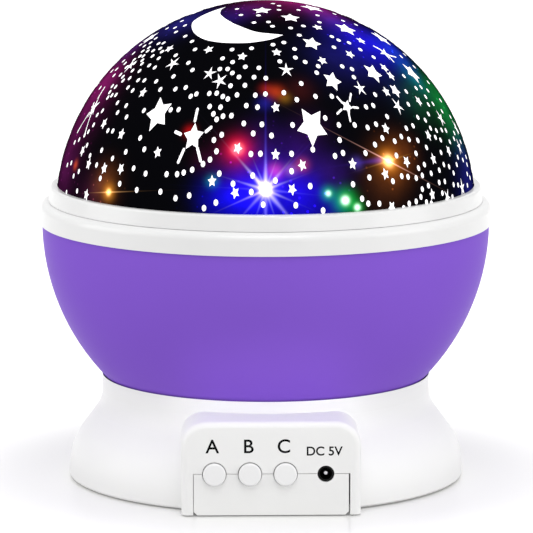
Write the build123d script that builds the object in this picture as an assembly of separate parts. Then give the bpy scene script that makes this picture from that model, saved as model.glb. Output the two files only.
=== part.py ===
from build123d import *
import os
from math import acos, cos, pi, radians, sin, sqrt, tan

# Star night light: a fixed base with buttons and batteries, a bowl that a small gear motor turns
# about the centre post, and a lift-off star dome over the LEDs. Millimetres, +Z up, the front
# panel faces -Y, the origin is on the post's axis at the level of the table.

# ---- fits ----
RUN_GAP = 0.4          # bowl over the base's neck, and other wide running gaps
SLIDE_GAP = 0.2        # buttons and switch plungers in their holes
BEARING_GAP = 0.05     # shafts in their bushes
SEAM = 0.15            # fixed mouldings side by side
THREAD_GAP = 0.05      # screws in their pilot holes
WALL = 2.0             # general wall of the mouldings

# ---- feet and base plate ----
FOOT_PROUD = 0.4
FOOT_R = 4.0
FOOT_SINK = 0.8
FOOT_INSET = 9.0       # feet's ring in from the skirt
FOOT_ANGLES = (38, 142, 250, 290)
PLATE_RECESS = 0.4
PLATE_T = 2.0
BASE_Z = FOOT_PROUD
PLATE_Z = BASE_Z + PLATE_RECESS
PLATE_TOP = PLATE_Z + PLATE_T

# ---- base skirt: a neck, a concave arc, a straight lean, a convex arc ----
SKIRT_R = 57.0
NECK_R = 47.4
LEAN = radians(36)
CONCAVE_R = 10.0
CONVEX_R = 19.9
CONVEX_Z = 2.5
SKIRT_EDGE = 0.6
DECK_Z = 16.5
DECK_T = 2.0
NECK_H = 4.64          # straight lip above the concave arc

# ---- bowl, rim, collar and dome ----
BOWL_R = 64.5
BOWL_BRIM_DROP = 0.3   # bowl's top edge below its centre
BOWL_FLOOR_LIFT = 5.5  # bowl's floor above the deck
FLOOR_T = 2.0
RIM_PROUD = 0.5        # rim beyond the bowl
RIM_H = 6.4
RIM_ROUND = 2.3
RIM_SKIRT_GAP = 0.35   # rim's inner skirt from the bowl's wall
RIM_SKIRT_DROP = 4.1
RIM_LEDGE = 2.4        # rim beyond the collar
COLLAR_H = 4.5
COLLAR_LEAN = 0.5
COLLAR_FLOOR_T = 1.6
COLLAR_ROUND = 0.8
COLLAR_LIFT = 0.1      # collar over the rim that it rests on
COLLAR_STEP = 2.0      # collar beyond the dome
DOME_LIFT = 2.8        # dome's centre above the bowl's
DOME_WALL = 1.6
PLUG_DROP = 4.8        # collar's plug below the rim's top
PLUG_WALL = 1.8
LUG_COUNT = 3
LUG_W = 8.0
LUG_H = 2.0
LUG_OUT = 1.2
LUG_TURN = 14          # degrees from the entry slot to the lock

# ---- front control box ----
BOX_PROUD = 2.6        # front face beyond the skirt
BOX_TOP_DROP = 3.37    # box's top below the neck's
BOX_CORNER = 7.0
BOX_EDGE = 1.8
INSERT_SIDE = 3.4      # box beyond the insert on each side
INSERT_TOP_Z = 12.0
INSERT_CORNER = 1.0
INSERT_RIGHT_GAP = 0.4 # wider than the seam on its left, for a fingernail
BUTTON_EDGE = 5.75     # first button in from the insert's left edge
BUTTON_PITCH = 9.9
BUTTON_NAMES = "abc"
BUTTON_R = 3.2
BUTTON_PROUD = 1.3
BUTTON_ROUND = 0.5
BUTTON_FLANGE_W = 1.0
BUTTON_FLANGE_T = 0.8
BUTTON_TRAVEL = 0.8
STEM_R = 1.3
PLUNGER_R = 1.6
PLUNGER_OUT = 1.5
SWITCH_SIDE = 6.0
SWITCH_T = 3.4
JACK_PITCH = 11.25     # socket on from the last button
JACK_EDGE = 6.4        # socket in from the insert's right edge
JACK_BORE_R = 1.75
JACK_NOSE_WALL = 0.45
JACK_BORE_DEPTH = 8.5
JACK_SIDE = 7.0
JACK_INSET = 0.6
JACK_PIN_R = 0.65
JACK_PIN_SHORT = 0.7
BOARD_SIDE_GAP = 1.0   # from the box's inner sides to the board
BOARD_T = 1.6
BOARD_GAP = 8.6        # from the box's inner face to the board
RAIL_T = 1.6
CHIP_W = 9.0
CHIP_H = 4.0
CHIP_T = 1.6
CHIP_DROP = 4.7        # chip's middle below the buttons' axis
CAP_SMALL_R = 2.0
CAP_LARGE_R = 2.5
CAP_SMALL_H = 4.0
CAP_LARGE_H = 5.0
CAP_DROP = 3.7         # capacitors' axes below the buttons'
CAP_LARGE_OUT = 7.5    # capacitors' axes out from the chip
CAP_SMALL_OUT = 6.0
RESISTOR_L = 1.6
RESISTOR_W = 0.8
RESISTOR_T = 0.6
RESISTOR_PITCH = 3.5
RESISTOR_COUNT = 5

# ---- batteries, their bay and its door ----
CELL_R = 5.25
CELL_L = 44.5
CELL_NUB_R = 1.9
CELL_NUB_L = 0.8
CELL_COUNT = 4
CELL_SIDE_GAP = 0.1
CELL_FLOOR_GAP = 0.3
SPRING_L = 3.2
SPRING_WIRE_R = 0.4
SPRING_EDGE = 0.2      # contact plate beyond the spring's largest turn
SPRING_STEP_R = 0.35
CONTACT_T = 0.4
CONTACT_MARGIN = 2.9   # cell's width beyond a contact plate's
BAY_FRONT_Y = -4.6
BAY_WALL = 1.4
BAY_ROOF_T = 1.2
DOOR_T = 1.6
DOOR_GAP = 0.3
DOOR_LIP = 0.8         # thickness of the plate's lip under the door's tabs
TAB_W = 8.0
TAB_REACH = 2.0
TAB_X = 14.0
TONGUE_W = 9.0
TONGUE_L = 6.4
GRIP_COUNT = 4
GRIP_PITCH = 2.4
GRIP_W = 1.0
GRIP_DEPTH = 0.4
DOOR_SCREW_GAP = 0.5   # free bore, so that the captive screw swings out with the door
DOOR_SCREW_L = 5.2

# ---- drive ----
MODULE = 0.8
PINION_TEETH = 12
GEAR_TEETH = 48
PRESSURE = radians(20)
BACKLASH = 0.16
GEAR_ADDENDUM = 0.85
GEAR_T = 3.0
GEAR_BORE_R = 12.5
GEAR_SCREW_IN = 3.3    # screws out from the gear's bore
PINION_T = 2.6
PINION_HUB_R = 3.0
PINION_HUB_DROP = 1.9
SHAFT_R = 1.5
SHAFT_SINK = 6.0
MOTOR_R = 11.0
MOTOR_Z = 4.5
MOTOR_PLATE_T = 1.5
MOTOR_EAR_OUT = 3.5    # ear screws out from the can
MOTOR_EAR_R = 3.2

# ---- centre post, bush and LED board ----
POST_R = 5.0
POST_WALL = 1.5
POST_FLANGE_W = 6.5
POST_FLANGE_T = 2.0
POST_SCREW_OUT = 3.6   # flange screws out from the post
POST_RISE = 2.0        # post's top above the tray's underside
POST_HEAD_HALF = 9.0
POST_HEAD_T = 2.0
WASHER_W = 4.0
WASHER_T = 0.9
BUSH_WALL = 2.0
BUSH_FLANGE_W = 2.45
BUSH_PROUD = 1.0       # bush above the bowl's hub
HUB_WALL = 2.5
HUB_H = 8.0
CLIP_T = 0.8
CLIP_W = 2.4
CLIP_GROOVE = 0.6
CLIP_MOUTH = 6.0
LED_BOARD_R = 15.5
LED_BOARD_T = 1.6
LED_R = 2.5
LED_STEM = 4.6
LED_RIM_R = 2.9
LED_RIM_T = 1.0
LED_RING_R = 6.6
LED_ANGLES = {"led_white": 0, "led_red": 90, "led_green": 180, "led_blue": 270}
LED_SCREW_IN = 2.9     # screws in from the board's edge
TRAY_T = 1.6
TRAY_GAP = 2.5         # round the LED board
TRAY_LIP_H = 1.6
TRAY_LIP_T = 1.2
COLUMN_R = 3.2
COLUMN_IN = 3.8        # columns in from the tray's edge
COLUMN_ANGLES = (90, 210, 330)

# ---- internal leads ----
CABLE_R = 0.7
CABLE_BEND = 1.2
CABLE_DROP = 4.0
LEAD_R = 0.5
LEAD_BEND = 1.5

# ---- screws: (shank radius, head radius, head height) ----
SMALL_SCREW = (0.9, 1.8, 0.9)
LARGE_SCREW = (1.2, 2.5, 1.0)
CROSS_T = 0.45
BASE_SCREW_INSET = 11.0  # screws' ring in from the skirt
BASE_SCREW_ANGLES = (20, 160, 230, 310)
BASE_SCREW_L = 9.0
BOSS_R = 3.2
PAD_R = 1.7            # thickening under the deck round each post screw
PAD_T = 1.2

# ---- places worked out from the sizes above ----
CONVEX_X = SKIRT_R - CONVEX_R
CONCAVE_X = NECK_R + CONCAVE_R
LEAN_RUN = CONVEX_X + CONVEX_R * cos(LEAN) - (CONCAVE_X - CONCAVE_R * cos(LEAN))
CONCAVE_Z = CONVEX_Z + (CONVEX_R + CONCAVE_R) * sin(LEAN) + LEAN_RUN / tan(LEAN)
NECK_TOP_Z = CONCAVE_Z + NECK_H
DECK_TOP = DECK_Z + DECK_T
FOOT_RING_R = SKIRT_R - FOOT_INSET
BASE_SCREW_RING_R = SKIRT_R - BASE_SCREW_INSET
BOWL_CENTRE_Z = NECK_TOP_Z + sqrt((BOWL_R + RUN_GAP) ** 2 - NECK_R ** 2)
BOWL_FLOOR_Z = DECK_TOP + BOWL_FLOOR_LIFT
BOWL_TOP_Z = BOWL_CENTRE_Z - BOWL_BRIM_DROP
RIM_R = BOWL_R + RIM_PROUD
RIM_TOP_Z = BOWL_TOP_Z + RIM_H
RIM_SKIRT_R = BOWL_R - WALL - RIM_SKIRT_GAP
RIM_BORE_R = RIM_SKIRT_R - WALL - SEAM
COLLAR_R = RIM_R - RIM_LEDGE
COLLAR_Z = RIM_TOP_Z + COLLAR_LIFT
COLLAR_TOP_Z = COLLAR_Z + COLLAR_H
PLUG_R = RIM_BORE_R - RUN_GAP
PLUG_BORE_R = PLUG_R - PLUG_WALL
DOME_R = COLLAR_R - COLLAR_STEP
DOME_CENTRE_Z = BOWL_CENTRE_Z + DOME_LIFT
DOME_Z = COLLAR_Z + COLLAR_FLOOR_T
BOX_FRONT = SKIRT_R + BOX_PROUD
BOX_TOP_Z = NECK_TOP_Z - BOX_TOP_DROP
BUTTON_ROW = BUTTON_PITCH * (len(BUTTON_NAMES) - 1)
INSERT_W = BUTTON_EDGE + BUTTON_ROW + JACK_PITCH + JACK_EDGE
BOX_W = INSERT_W + 2 * INSERT_SIDE
PANEL_IN = BOX_FRONT - WALL
BUTTON_Z = INSERT_TOP_Z
BUTTON_X = [BUTTON_EDGE - INSERT_W / 2 + BUTTON_PITCH * k for k in range(len(BUTTON_NAMES))]
JACK_X = BUTTON_X[-1] + JACK_PITCH
BUTTON_FLANGE_R = BUTTON_R + BUTTON_FLANGE_W
JACK_NOSE_R = JACK_BORE_R + JACK_NOSE_WALL
BOARD_W = BOX_W - 2 * (WALL + BOARD_SIDE_GAP)
BOARD_FRONT_Y = -(PANEL_IN - BOARD_GAP)
BOARD_Z = PLATE_TOP + SEAM
BOARD_TOP_Z = DECK_Z - 2 * SEAM
CELL_PITCH = 2 * CELL_R + CELL_SIDE_GAP
CONTACT_SIDE = 2 * CELL_R - CONTACT_MARGIN
SPRING_BIG_R = CONTACT_SIDE / 2 - SPRING_EDGE
CELL_Z = PLATE_Z + DOOR_T + CELL_FLOOR_GAP + CELL_R
BAY_X = (CELL_L + SPRING_L) / 2 + CONTACT_T
BAY_BACK_Y = BAY_FRONT_Y + CELL_COUNT * CELL_PITCH
BAY_ROOF_Z = CELL_Z + CELL_R + SEAM
DOOR_TOP = PLATE_Z + DOOR_T
DOOR_X = BAY_X + BAY_WALL
DOOR_FRONT_Y = BAY_FRONT_Y - BAY_WALL
DOOR_BACK_Y = BAY_BACK_Y + BAY_WALL
DOOR_SCREW_Y = DOOR_BACK_Y + TONGUE_L - TONGUE_W / 2
GEAR_Z = BOWL_FLOOR_Z - GEAR_T
GEAR_SCREW_R = GEAR_BORE_R + GEAR_SCREW_IN
MOTOR_EAR_X = MOTOR_R + MOTOR_EAR_OUT
PITCH_SUM = MODULE * (PINION_TEETH + GEAR_TEETH) / 2
PINION_TOP = BOWL_FLOOR_Z - 1.25 * RUN_GAP
TRAY_Z = BOWL_TOP_Z - RIM_SKIRT_DROP
TRAY_BORE_R = LED_BOARD_R + TRAY_GAP
COLUMN_RING_R = PLUG_BORE_R - COLUMN_IN
LED_SCREW_R = LED_BOARD_R - LED_SCREW_IN
POST_BORE_R = POST_R - POST_WALL
POST_TOP_Z = TRAY_Z + POST_RISE
POST_FLANGE_R = POST_R + POST_FLANGE_W
POST_FLANGE_TOP = DECK_TOP + POST_FLANGE_T
POST_SCREW_R = POST_R + POST_SCREW_OUT
WASHER_R = POST_R + WASHER_W
WASHER_TOP = POST_FLANGE_TOP + WASHER_T
BUSH_R = POST_R + BEARING_GAP + BUSH_WALL
BUSH_FLANGE_R = BUSH_R + BUSH_FLANGE_W
BUSH_Z = WASHER_TOP + SLIDE_GAP
HUB_TOP_Z = BOWL_FLOOR_Z + HUB_H
BUSH_TOP_Z = HUB_TOP_Z + BUSH_PROUD
CLIP_R = POST_R + CLIP_W
CLIP_Z = BUSH_TOP_Z + SLIDE_GAP


def disc(radius, low, high, x=0.0, y=0.0):
    """A round disc or rod along Z."""
    return Pos(x, y, (low + high) / 2) * Cylinder(radius, high - low)


def ring(outer, inner, low, high):
    """A flat ring about the axis."""
    return disc(outer, low, high) - disc(inner, low, high)


def rod_y(radius, front, back, x, z):
    """A round rod along Y."""
    return Pos(x, (front + back) / 2, z) * Rot(90, 0, 0) * Cylinder(radius, back - front)


def rod_x(radius, left, right, y, z):
    """A round rod along X."""
    return Pos((left + right) / 2, y, z) * Rot(0, 90, 0) * Cylinder(radius, right - left)


def block(x, y, z):
    """A box from three (low, high) pairs."""
    centre = [(low + high) / 2 for low, high in (x, y, z)]
    size = [high - low for low, high in (x, y, z)]
    return Pos(*centre) * Box(*size)


def slab(low, high):
    """All the space between two heights that the object could reach."""
    reach = 4 * RIM_R
    return block((-reach, reach), (-reach, reach), (low, high))


def ball(radius, centre_z):
    return Pos(0, 0, centre_z) * Sphere(radius)


def polar(radius, angle):
    """A point at a radius and an angle in degrees, as (x, y)."""
    return radius * cos(radians(angle)), radius * sin(radians(angle))


def union(pieces):
    """One shape from several that touch or overlap."""
    pieces = list(pieces)
    return pieces[0].fuse(*pieces[1:]) if len(pieces) > 1 else pieces[0]


def screw(kind, length, x, y, seat, up=True):
    """A cross-head screw; its head stands on seat and its shank points away from the driver."""
    shank_r, head_r, head_h = kind
    head = disc(head_r, -head_h, 0)
    slot = block((-CROSS_T / 2, CROSS_T / 2), (-head_r * 0.6, head_r * 0.6), (-head_h, -head_h / 2))
    body = head + disc(shank_r, 0, length) - slot - Rot(0, 0, 90) * slot
    turn = Rot(0, 0, 0) if up else Rot(180, 0, 0)
    return Pos(x, y, seat) * turn * body


def skirt_solid(inset, low, high):
    """The base's round form, drawn in by inset, between two heights."""
    concave = CONCAVE_R + inset
    convex = CONVEX_R - inset
    neck = CONCAVE_X - concave
    foot = CONVEX_X + convex
    arc_top = (CONCAVE_X - concave * cos(LEAN), CONCAVE_Z - concave * sin(LEAN))
    arc_low = (CONVEX_X + convex * cos(LEAN), CONVEX_Z + convex * sin(LEAN))
    half = LEAN / 2
    concave_mid = (CONCAVE_X - concave * cos(half), CONCAVE_Z - concave * sin(half))
    convex_mid = (CONVEX_X + convex * cos(half), CONVEX_Z + convex * sin(half))
    top = BOWL_CENTRE_Z
    outline = [
        Line((0, top), (neck, top)),
        Line((neck, top), (neck, CONCAVE_Z)),
        ThreePointArc((neck, CONCAVE_Z), concave_mid, arc_top),
        Line(arc_top, arc_low),
        ThreePointArc(arc_low, convex_mid, (foot, CONVEX_Z)),
        Line((foot, CONVEX_Z), (foot, 0)),
        Line((foot, 0), (0, 0)),
        Line((0, 0), (0, top)),
    ]
    body = revolve(Plane.XZ * make_face(outline), Axis.Z)
    return body & slab(low, high)


def box_solid(inset):
    """The control box's arched form, drawn in by inset on its sides, top and front."""
    half = BOX_W / 2 - inset
    top = BOX_TOP_Z - inset
    corner = BOX_CORNER - inset
    front = BOX_FRONT - inset
    face = Plane.XZ * (Pos(0, top / 2) * Rectangle(2 * half, top))
    body = Pos(0, -NECK_R / 2, 0) * extrude(face, front - NECK_R / 2)
    upper = body.edges().filter_by(Axis.Y).group_by(Axis.Z)[-1]
    body = fillet(upper, corner)
    front_edges = body.faces().sort_by(Axis.Y)[0].edges()
    round_r = max(BOX_EDGE - inset, SEAM)
    return fillet([e for e in front_edges if e.center().Z > SEAM], round_r)


def panel_holes():
    """The three button holes and the jack's hole through the front wall."""
    front = -BOX_FRONT - WALL
    back = -PANEL_IN + WALL
    holes = [rod_y(BUTTON_R + SLIDE_GAP, front, back, x, BUTTON_Z) for x in BUTTON_X]
    holes.append(rod_y(JACK_NOSE_R + SEAM, front, back, JACK_X, BUTTON_Z))
    return union(holes)


def board_rails():
    """Two slotted rails that hold the control board by its ends."""
    low_y = BOARD_FRONT_Y - RAIL_T
    high_y = BOARD_FRONT_Y + BOARD_T + RAIL_T
    half = BOARD_W / 2
    rail = block((half - RAIL_T, half + RAIL_T), (low_y, high_y), (PLATE_TOP + SEAM, DECK_Z + WALL / 2))
    slot = block((0, half + SEAM), (BOARD_FRONT_Y - SEAM / 2, BOARD_FRONT_Y + BOARD_T + SEAM / 2),
                 (0, DECK_Z))
    rail = rail - slot
    return rail, mirror(rail, about=Plane.YZ)


def base_shell():
    """Skirt, neck, deck and control box in one moulding."""
    above_deck = skirt_solid(0, DECK_Z, NECK_TOP_Z)
    skirt = skirt_solid(0, BASE_Z, NECK_TOP_Z)
    edge = skirt.edges().group_by(Axis.Z)[0]
    skirt = fillet(edge, SKIRT_EDGE)
    box = box_solid(0) & slab(BASE_Z, BOX_TOP_Z)
    shell = skirt + box
    shell -= skirt_solid(WALL, BASE_Z, DECK_Z)
    shell -= skirt_solid(WALL, DECK_TOP, NECK_TOP_Z)
    shell -= box_solid(WALL) - above_deck
    shell -= ball(BOWL_R + RUN_GAP, BOWL_CENTRE_Z) & slab(DECK_TOP, BOWL_CENTRE_Z)
    bosses = [disc(BOSS_R, PLATE_TOP, DECK_Z, *polar(BASE_SCREW_RING_R, a)) for a in BASE_SCREW_ANGLES]
    pads = [disc(PAD_R, DECK_Z - PAD_T, DECK_Z, *polar(POST_SCREW_R, a)) for a in COLUMN_ANGLES]
    shell = union([shell, *bosses, *pads, *board_rails()])
    insert_sides = (-INSERT_W / 2 - SEAM, INSERT_W / 2 + INSERT_RIGHT_GAP)
    shell -= block(insert_sides, (-BOX_FRONT - WALL, -PANEL_IN + WALL / 2), (0, INSERT_TOP_Z + SEAM))
    shell -= panel_holes()
    shell -= disc(POST_BORE_R, DECK_Z, DECK_TOP)
    shell -= disc(PINION_HUB_R + RUN_GAP, DECK_Z, DECK_TOP, 0, -PITCH_SUM)
    for angle in BASE_SCREW_ANGLES:
        shell -= disc(LARGE_SCREW[0] + THREAD_GAP, PLATE_TOP, DECK_Z - WALL, *polar(BASE_SCREW_RING_R, angle))
    for angle in COLUMN_ANGLES:
        shell -= disc(SMALL_SCREW[0] + THREAD_GAP, DECK_Z - PAD_T, DECK_TOP, *polar(POST_SCREW_R, angle))
    for side in (-1, 1):
        shell -= disc(SMALL_SCREW[0] + THREAD_GAP, DECK_Z, DECK_TOP, side * MOTOR_EAR_X, -PITCH_SUM)
    return shell


def door_outline(gap):
    """The battery door's plan with its rounded screw tongue, grown by gap."""
    plan = Pos(0, (DOOR_FRONT_Y + DOOR_BACK_Y) / 2) * Rectangle(
        2 * (DOOR_X + gap), DOOR_BACK_Y - DOOR_FRONT_Y + 2 * gap)
    tongue = Pos(0, DOOR_BACK_Y) * SlotCenterToCenter(2 * (TONGUE_L - TONGUE_W / 2), TONGUE_W + 2 * gap,
                                                      rotation=90)
    return plan + tongue


def base_plate():
    """Bottom cover with the battery bay and the upright front insert."""
    plate = disc(SKIRT_R - WALL - SEAM, PLATE_Z, PLATE_TOP)
    half = BOX_W / 2 - WALL - SEAM
    plate += block((-half, half), (-PANEL_IN + SEAM, -NECK_R), (PLATE_Z, PLATE_TOP))
    half = INSERT_W / 2
    insert = block((-half, half), (-BOX_FRONT, -PANEL_IN), (BASE_Z, INSERT_TOP_Z))
    corners = insert.edges().filter_by(Axis.Y).group_by(Axis.Z)[0]
    plate += chamfer(corners, INSERT_CORNER)
    plate += block((-half, half), (-BOX_FRONT + WALL / 2, -NECK_R), (PLATE_Z, PLATE_TOP))
    plate += block((-DOOR_X, DOOR_X), (DOOR_FRONT_Y, DOOR_BACK_Y), (PLATE_Z, BAY_ROOF_Z + BAY_ROOF_T))
    frame = BAY_WALL + DOOR_GAP
    plate += block((-DOOR_X - frame, DOOR_X + frame), (DOOR_FRONT_Y - frame, DOOR_BACK_Y + frame),
                   (PLATE_Z, PLATE_TOP + BAY_WALL))
    bore_top = DOOR_TOP + DOOR_SCREW_L + SEAM
    plate += disc(TONGUE_W / 2 + BAY_WALL, PLATE_Z, bore_top + WALL, 0, DOOR_SCREW_Y)
    plate -= block((-BAY_X, BAY_X), (BAY_FRONT_Y, BAY_BACK_Y), (0, BAY_ROOF_Z))
    plate -= Pos(0, 0, PLATE_Z) * extrude(door_outline(DOOR_GAP), DOOR_T + SEAM)
    plate -= disc(LARGE_SCREW[0] + DOOR_SCREW_GAP, PLATE_Z, bore_top, 0, DOOR_SCREW_Y)
    for side in (-1, 1):
        reach = DOOR_FRONT_Y - TAB_REACH - 2 * DOOR_GAP
        half = TAB_W / 2 + DOOR_GAP
        plate -= block((side * TAB_X - half, side * TAB_X + half), (reach, BAY_FRONT_Y),
                       (PLATE_Z + DOOR_LIP, PLATE_TOP + WALL))
    plate -= panel_holes()
    for angle in FOOT_ANGLES:
        plate -= disc(FOOT_R + SEAM, PLATE_Z, PLATE_Z + FOOT_SINK, *polar(FOOT_RING_R, angle))
    for angle in BASE_SCREW_ANGLES:
        x, y = polar(BASE_SCREW_RING_R, angle)
        plate -= disc(LARGE_SCREW[1] + SEAM, PLATE_Z, PLATE_Z + LARGE_SCREW[2], x, y)
        plate -= disc(LARGE_SCREW[0] + SEAM, PLATE_Z, PLATE_TOP, x, y)
    return plate


def base_screws():
    return [screw(LARGE_SCREW, BASE_SCREW_L, *polar(BASE_SCREW_RING_R, a), PLATE_Z + LARGE_SCREW[2])
            for a in BASE_SCREW_ANGLES]


def rubber_feet():
    feet = [disc(FOOT_R, 0, PLATE_Z + FOOT_SINK, *polar(FOOT_RING_R, a)) for a in FOOT_ANGLES]
    return [fillet(foot.edges().group_by(Axis.Z)[0], FOOT_PROUD / 2) for foot in feet]


def control_board():
    """Upright circuit board behind the buttons."""
    half = BOARD_W / 2
    return block((-half, half), (BOARD_FRONT_Y, BOARD_FRONT_Y + BOARD_T), (BOARD_Z, BOARD_TOP_Z))


def board_parts():
    """Controller chip, two capacitors and a row of resistors on the board's back."""
    back = BOARD_FRONT_Y + BOARD_T
    chip_z = BUTTON_Z - CHIP_DROP
    chip = block((-CHIP_W / 2, CHIP_W / 2), (back, back + CHIP_T), (chip_z - CHIP_H / 2, chip_z + CHIP_H / 2))
    cap_z = BUTTON_Z - CAP_DROP
    caps = [rod_y(CAP_LARGE_R, back, back + CAP_LARGE_H, CHIP_W / 2 + CAP_LARGE_OUT, cap_z),
            rod_y(CAP_SMALL_R, back, back + CAP_SMALL_H, -CHIP_W / 2 - CAP_SMALL_OUT, cap_z)]
    first = -RESISTOR_PITCH * (RESISTOR_COUNT - 1) / 2
    middles = [first + RESISTOR_PITCH * k for k in range(RESISTOR_COUNT)]
    resistors = [block((x - RESISTOR_L / 2, x + RESISTOR_L / 2), (back, back + RESISTOR_T),
                       (BUTTON_Z, BUTTON_Z + RESISTOR_W)) for x in middles]
    return [chip, *caps, *resistors]


def tact_switches():
    """Housings of the three push switches, each bored for its plunger."""
    half = SWITCH_SIDE / 2
    front = BOARD_FRONT_Y - SWITCH_T
    low, high = BUTTON_Z - half, BUTTON_Z + half
    bore_r = PLUNGER_R + SLIDE_GAP
    return [block((x - half, x + half), (front, BOARD_FRONT_Y), (low, high))
            - rod_y(bore_r, front, BOARD_FRONT_Y - 2 * SLIDE_GAP, x, BUTTON_Z) for x in BUTTON_X]


def plunger(x):
    """The part of a push switch that the button's stem pushes."""
    front = BOARD_FRONT_Y - SWITCH_T - PLUNGER_OUT
    return rod_y(PLUNGER_R, front, BOARD_FRONT_Y - 3 * SLIDE_GAP - BUTTON_TRAVEL, x, BUTTON_Z)


def button(x):
    """Round key cap with a retaining flange and a stem that reaches its switch."""
    flange_y = -PANEL_IN + SLIDE_GAP
    cap = rod_y(BUTTON_R, -BOX_FRONT - BUTTON_PROUD, flange_y, x, BUTTON_Z)
    cap = fillet(cap.edges().group_by(Axis.Y)[0], BUTTON_ROUND)
    flange = rod_y(BUTTON_FLANGE_R, flange_y, flange_y + BUTTON_FLANGE_T, x, BUTTON_Z)
    stem = rod_y(STEM_R, flange_y, BOARD_FRONT_Y - SWITCH_T - PLUNGER_OUT, x, BUTTON_Z)
    return cap + flange + stem


def dc_jack():
    """Barrel power socket; its round nose lies in the panel's hole."""
    half = JACK_SIDE / 2
    face = -PANEL_IN + SEAM
    nose = -BOX_FRONT + JACK_INSET
    body = block((JACK_X - half, JACK_X + half), (face, BOARD_FRONT_Y), (BUTTON_Z - half, BUTTON_Z + half))
    body += rod_y(JACK_NOSE_R, nose, face + SEAM, JACK_X, BUTTON_Z)
    return body - rod_y(JACK_BORE_R, nose, nose + JACK_BORE_DEPTH, JACK_X, BUTTON_Z)


def jack_pin():
    nose = -BOX_FRONT + JACK_INSET
    pin = rod_y(JACK_PIN_R, nose + JACK_PIN_SHORT, nose + JACK_BORE_DEPTH, JACK_X, BUTTON_Z)
    return fillet(pin.edges().group_by(Axis.Y)[0], JACK_PIN_R / 2)


def cell_y(index):
    return BAY_FRONT_Y + CELL_PITCH * (index + 0.5)


def battery_cells():
    """AAA cells side by side, every second one turned round."""
    cells = []
    for index in range(CELL_COUNT):
        tip = BAY_X - CONTACT_T
        can = rod_x(CELL_R, tip - CELL_L, tip - CELL_NUB_L, 0, 0)
        cell = can + rod_x(CELL_NUB_R, tip - CELL_NUB_L, tip, 0, 0)
        cells.append(Pos(0, cell_y(index), CELL_Z) * Rot(0, 0, 180 * (index % 2)) * cell)
    return cells


def contact_springs():
    """Conical coil springs at the cells' flat ends, drawn as stacked rings."""
    turns = 5
    step = (SPRING_L - 2 * SPRING_WIRE_R) / (turns - 1)
    springs = []
    for index in range(CELL_COUNT):
        start = -BAY_X + CONTACT_T + SPRING_WIRE_R
        coil = union(Pos(start + k * step, 0, 0) * Rot(0, 90, 0) *
                     Torus(SPRING_BIG_R - k * SPRING_STEP_R, SPRING_WIRE_R) for k in range(turns))
        springs.append(Pos(0, cell_y(index), CELL_Z) * Rot(0, 0, 180 * (index % 2)) * coil)
    return springs


def contact_plates():
    """Sprung steel plates on both end walls of the bay."""
    half = CONTACT_SIDE / 2
    plates = []
    for index in range(CELL_COUNT):
        for side in (-1, 1):
            x = sorted((side * BAY_X, side * (BAY_X - CONTACT_T)))
            y = cell_y(index)
            plates.append(block(x, (y - half, y + half), (CELL_Z - half, CELL_Z + half)))
    return plates


def battery_door():
    """Flush door with two hooked tabs at its front and a screw tongue at its back."""
    door = Pos(0, 0, PLATE_Z) * extrude(door_outline(0), DOOR_T)
    for side in (-1, 1):
        x = side * TAB_X
        door += block((x - TAB_W / 2, x + TAB_W / 2), (DOOR_FRONT_Y - DOOR_GAP - TAB_REACH, DOOR_FRONT_Y),
                      (PLATE_Z + DOOR_LIP + SEAM, DOOR_TOP))
    door -= disc(LARGE_SCREW[1] + SEAM, PLATE_Z, PLATE_Z + LARGE_SCREW[2], 0, DOOR_SCREW_Y)
    door -= disc(LARGE_SCREW[0] + SEAM, PLATE_Z, DOOR_TOP, 0, DOOR_SCREW_Y)
    for index in range(1, GRIP_COUNT + 1):
        y = DOOR_BACK_Y - GRIP_PITCH * index
        door -= block((-TONGUE_W, TONGUE_W), (y - GRIP_W, y), (PLATE_Z, PLATE_Z + GRIP_DEPTH))
    return door


def door_screw():
    return screw(LARGE_SCREW, DOOR_SCREW_L, 0, DOOR_SCREW_Y, PLATE_Z + LARGE_SCREW[2])


def gear_motor():
    """Flat gear motor that hangs from the deck by two ears, bored for its output shaft."""
    plate_z = DECK_Z - MOTOR_PLATE_T
    motor = disc(MOTOR_R, MOTOR_Z, plate_z, 0, -PITCH_SUM)
    motor = fillet(motor.edges().group_by(Axis.Z)[0], MOTOR_PLATE_T / 2)
    ears = block((-MOTOR_EAR_X, MOTOR_EAR_X), (-PITCH_SUM - MOTOR_EAR_R, -PITCH_SUM + MOTOR_EAR_R),
                 (plate_z, DECK_Z))
    ears += disc(MOTOR_R, plate_z, DECK_Z, 0, -PITCH_SUM)
    for side in (-1, 1):
        ears += disc(MOTOR_EAR_R, plate_z, DECK_Z, side * MOTOR_EAR_X, -PITCH_SUM)
        ears -= disc(SMALL_SCREW[0] + SEAM, plate_z, DECK_Z, side * MOTOR_EAR_X, -PITCH_SUM)
    bore_low = DECK_Z - SHAFT_SINK - RUN_GAP
    return motor + ears - disc(SHAFT_R + BEARING_GAP, bore_low, DECK_Z, 0, -PITCH_SUM)


def motor_screws():
    return [screw(SMALL_SCREW, MOTOR_PLATE_T + DECK_T, side * MOTOR_EAR_X, -PITCH_SUM, DECK_Z - MOTOR_PLATE_T)
            for side in (-1, 1)]


def involute(angle):
    return tan(angle) - angle


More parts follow.
